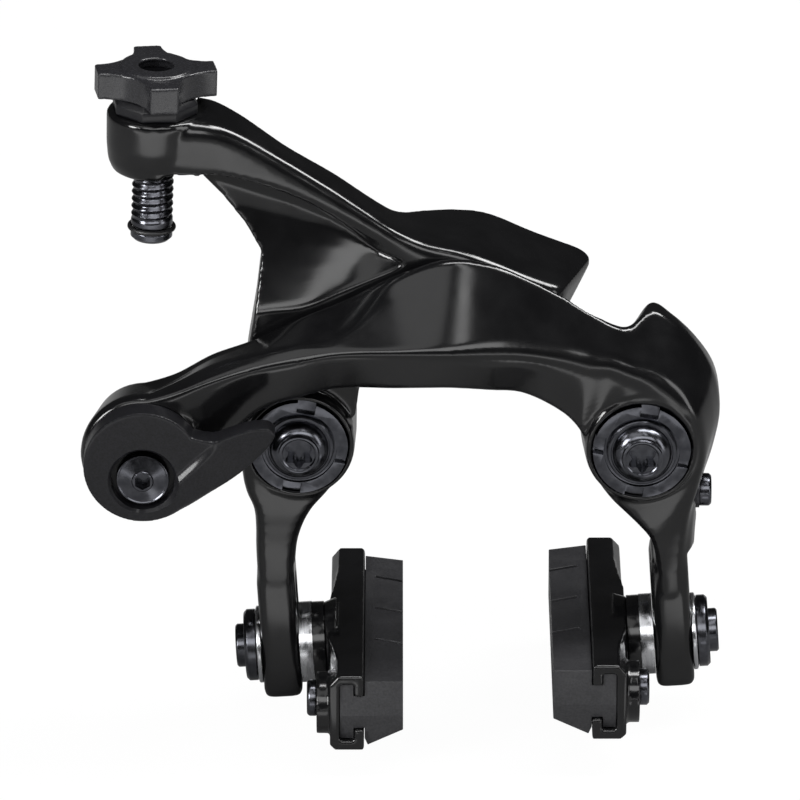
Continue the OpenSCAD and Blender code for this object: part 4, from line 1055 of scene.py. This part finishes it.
# Outline from the round end over the hollow neck to the finger's tip, and back underneath
LEVER_EDGE = [
    (-4, 8.7), (2.8, 8.9), (5.7, 6.7), (8.2, 5.2), (11.5, 4.6), (14, 5.4), (17.3, 6.5), (20.3, 6.6),
    (21.6, 5.4)]
LEVER_UNDER = [(21.6, 5.4), (19.9, 2.6), (15.8, -1.2), (11, -4.3), (7.2, -6.8), (3, -9.1)]
BOLT_RECESS = [
    (0, -36), (5.9, -36), (5.9, -34.7), (5.2, -33.9), (5.2, -31.8), (0, -31.8)]


def smooth_line(points, steps):
    """Smooth line in X and Z through a list of points."""
    return [ring[0] for ring in curve_through([[Vector(point)] for point in points], steps)]


def finger_lift(x, z):
    """How far the front of the lever is raised at a place, from the slanted crease on."""
    beyond = (Vector((x, z)) - CREASE_START).dot(CREASE_ACROSS)
    run = (Vector((x, z)) - CREASE_START).dot(CREASE_ALONG)
    rise = min(max(beyond + 0.5, 0), 1)
    onset = eased((run - RISE_FROM) / RISE_EASE)
    fade = eased((RISE_TO - run) / RISE_EASE) * onset
    sink = FINGER_FALL * max(beyond, 0) * onset
    return FINGER_PROUD * rise * fade - sink


def make_lever():
    """Quick release lever: rounded all round, with its finger raised along a slanted crease."""
    outline = smooth_line(LEVER_EDGE, 6) + smooth_line(LEVER_UNDER, 6)[1:]
    turns = [FULL_TURN * k / 96 for k in range(96)]
    circle = [(LEVER_ROUND * math.cos(turn), LEVER_ROUND * math.sin(turn)) for turn in turns]
    disc = slab_y("disc", circle, LEVER_FRONT, LEVER_BACK)
    finger = slab_y("finger", [(p.x, p.y) for p in outline] + [(-2, 0)], LEVER_FRONT, LEVER_BACK)
    lever = join_all([disc, finger, rod_y("drum", 6.6, LEVER_BACK - 1, -17.2)])
    lever.name = "lever"
    apply_modifier(lever, "REMESH", mode="VOXEL", voxel_size=LEVER_CELL * MM)
    for vertex in lever.data.vertices:
        x, y, z = (c / MM for c in vertex.co)
        if y <= LEVER_FRONT + FINGER_DEPTH:
            vertex.co.y -= MM * finger_lift(x, z)
    apply_modifier(lever, "SMOOTH", factor=0.5, iterations=6)
    cut(lever, [
        shifted(turned("recess", BOLT_RECESS), 0, 0, -LEVER_AT[2]),
        shifted(rod_y("bore", 2.6, -36, 0), 0, 0, -LEVER_AT[2])])
    shifted(lever, LEVER_AT[0], 0, LEVER_AT[2])
    smooth_under(lever, 28)
    place(lever, lever_grey, "lever", "lever_grey", "quick_release_lever")


# Barrel: radius, pitch and depth of its thread, its ends below and above the adjuster's seat, and
# the height of one ring of its mesh
BARREL_RADIUS = 3.4
THREAD_PITCH = 1.25
THREAD_DEPTH = 0.38
BARREL_LOW = -22.4
BARREL_TOP = 1.9
BARREL_STEP = 0.1
# The thread runs out from here, over this length, towards the groove of the sealing ring
THREAD_START = 3.2
THREAD_RUN_OUT = 1.2
GROOVE_AT = 2
GROOVE_HALF = 0.45
GROOVE_DEPTH = 0.35
FOOT_BEVEL = 0.5
BARREL_SOCKET = [(0, -7.1), (2.5, -7.1), (2.5, 3), (0, 3)]
CABLE_HOLE = [(0, -24), (1.1, -24), (1.1, -6), (0, -6)]
COLLAR = [
    (4.9, -1.2), (5.2, -1.2), (5.2, 0), (6.9, 0), (7.15, 0.3), (7.15, 1.7), (6.5, 2.6), (4.9, 2.6)]
COLLAR_NECK = [(3.44, -1.1), (4.85, -1.1), (4.85, 5.8), (3.44, 5.8)]


def barrel_radius(z, share):
    """Radius of the threaded barrel at a height and a share of a turn."""
    up = z - BARREL_LOW
    phase = ((z / THREAD_PITCH - share) % 1 - 0.5) * 2
    depth = THREAD_DEPTH * (1 - abs(phase)) * min(max((up - THREAD_START) / THREAD_RUN_OUT, 0), 1)
    groove = GROOVE_DEPTH * math.exp(-((up - GROOVE_AT) / GROOVE_HALF) ** 4)
    bevel = FOOT_BEVEL * max(0, 1 - up / FOOT_BEVEL)
    return BARREL_RADIUS - depth - groove - bevel


def make_barrel():
    """Threaded barrel of the cable adjuster, with its O ring groove and its cable socket."""
    levels = int((BARREL_TOP - BARREL_LOW) / BARREL_STEP)
    rings = []
    for j in range(levels + 1):
        z = BARREL_LOW + (BARREL_TOP - BARREL_LOW) * j / levels
        ring = []
        for k in range(THREAD_STEPS):
            turn = FULL_TURN * k / THREAD_STEPS
            r = barrel_radius(z, k / THREAD_STEPS)
            ring.append(Vector((r * math.cos(turn), r * math.sin(turn), z)))
        rings.append(ring)
    barrel = skinned("threaded_barrel", rings)
    cut(barrel, [turned("socket", BARREL_SOCKET, "Z"), turned("cable_hole", CABLE_HOLE, "Z")])
    moved(barrel, ADJUSTER_PLACE)
    smooth_under(barrel, 35)
    place(barrel, bolt_black, "adjuster_barrel", "dark_steel", "adjuster_barrel")


def make_collar_nut():
    """Eight sided collar nut under the adjuster's knob, with the neck that the knob sits on."""
    collar = turned("collar", COLLAR, "Z", 8)
    neck = turned("neck", COLLAR_NECK, "Z")
    ease_edges(collar, 0.12)
    nut = join_all([collar, neck])
    moved(nut, ADJUSTER_PLACE @ Matrix.Rotation(math.radians(30), 4, "Z"))
    smooth_under(nut, 25)
    nut.name = "collar_nut"
    place(nut, lever_grey, "adjuster_nut", "dark_steel", "adjuster_nut")


def key_hole(name, outline, front, deep):
    """Cutter for a key's socket in a bolt head."""
    return slab_y(name, outline, front - 1, front + deep)


def round_outline(count, radius_at):
    """Points in X and Z round the Y axis, at a radius that may change with the turn."""
    turns = [FULL_TURN * k / count for k in range(count)]
    return [(radius_at(turn) * math.sin(turn), radius_at(turn) * math.cos(turn)) for turn in turns]


# Mounting bolt behind its head: the far end of the thread and the shank
BOLT_SHANK = [(0, 12), (2.6, 12), (3, 11.6), (3, 0), (2.7, 0)]
# Its head from the flange with its fine step over the dome to the raised ring round the socket:
# radius, and depth behind the head's front
BOLT_HEAD = [
    (5.6, 2.75), (5.45, 2.6), (5.1, 2.6), (5.0, 2.8), (4.85, 2.8), (4.8, 2.35), (4.6, 1.85), (4.3, 1.4),
    (3.9, 1.0), (3.5, 0.75), (3.35, 0.7), (3.35, 0.25), (3.2, 0.05), (3.05, 0), (2.8, 0), (2.62, 0.15),
    (2.6, 0.3), (0, 0.3)]
# Depth of the head's seat behind its front
BOLT_SEAT = 3.4
# X and front of each bolt's head, and the mean radius and swing of its six lobed socket
BOLT_FRONTS = {"left": (-PIVOT_X, -23.9), "right": (PIVOT_X, -25.7)}
LOBE_RADIUS = 2.12
LOBE_SWING = 0.36
CABLE_BOLT_FRONT = -34.7
CABLE_BOLT = [
    (0, -9.9), (2.2, -9.9), (2.5, -10.3), (2.5, -31.8), (4.3, -31.8), (4.3, -33.65), (4.2, -33.85),
    (4.05, -33.9), (3.9, -33.8), (1.8, -34.4), (1.72, -34.6), (1.6, CABLE_BOLT_FRONT),
    (0, CABLE_BOLT_FRONT)]


def make_mounting_bolt(side):
    """Domed mounting bolt with a six lobed socket."""
    x, front = BOLT_FRONTS[side]
    seat = front + BOLT_SEAT
    profile = BOLT_SHANK + [(2.7, seat), (5.6, seat)] + [(r, front + deep) for r, deep in BOLT_HEAD]
    bolt = turned(side + "_mounting_bolt", profile)
    lobes = round_outline(72, lambda turn: LOBE_RADIUS + LOBE_SWING * math.cos(6 * turn))
    cut(bolt, [key_hole("lobes", lobes, front, 2.6)])
    shifted(bolt, x, 0, 0)
    smooth_under(bolt, 30)
    place(bolt, bolt_black, "mount", "dark_steel", "mounting_bolts")


def make_cable_bolt():
    """Low bolt of the cable clamp, with its small hexagon socket."""
    bolt = turned("cable_bolt_turned", CABLE_BOLT)
    hexagon = round_outline(6, lambda turn: 1.4)
    cut(bolt, [key_hole("hexagon", hexagon, CABLE_BOLT_FRONT, 2)])
    shifted(bolt, LEVER_AT[0], 0, 0)
    smooth_under(bolt, 30)
    place(bolt, bolt_black, "lever", "dark_steel", "cable_bolt")


make_front_arm()
make_rear_arm()
make_eased_parts()
make_back_plate()
make_link_pin()
make_knob()
make_shoe("left")
make_shoe("right")
make_lever()
make_barrel()
make_collar_nut()
make_mounting_bolt("left")
make_mounting_bolt("right")
make_cable_bolt()
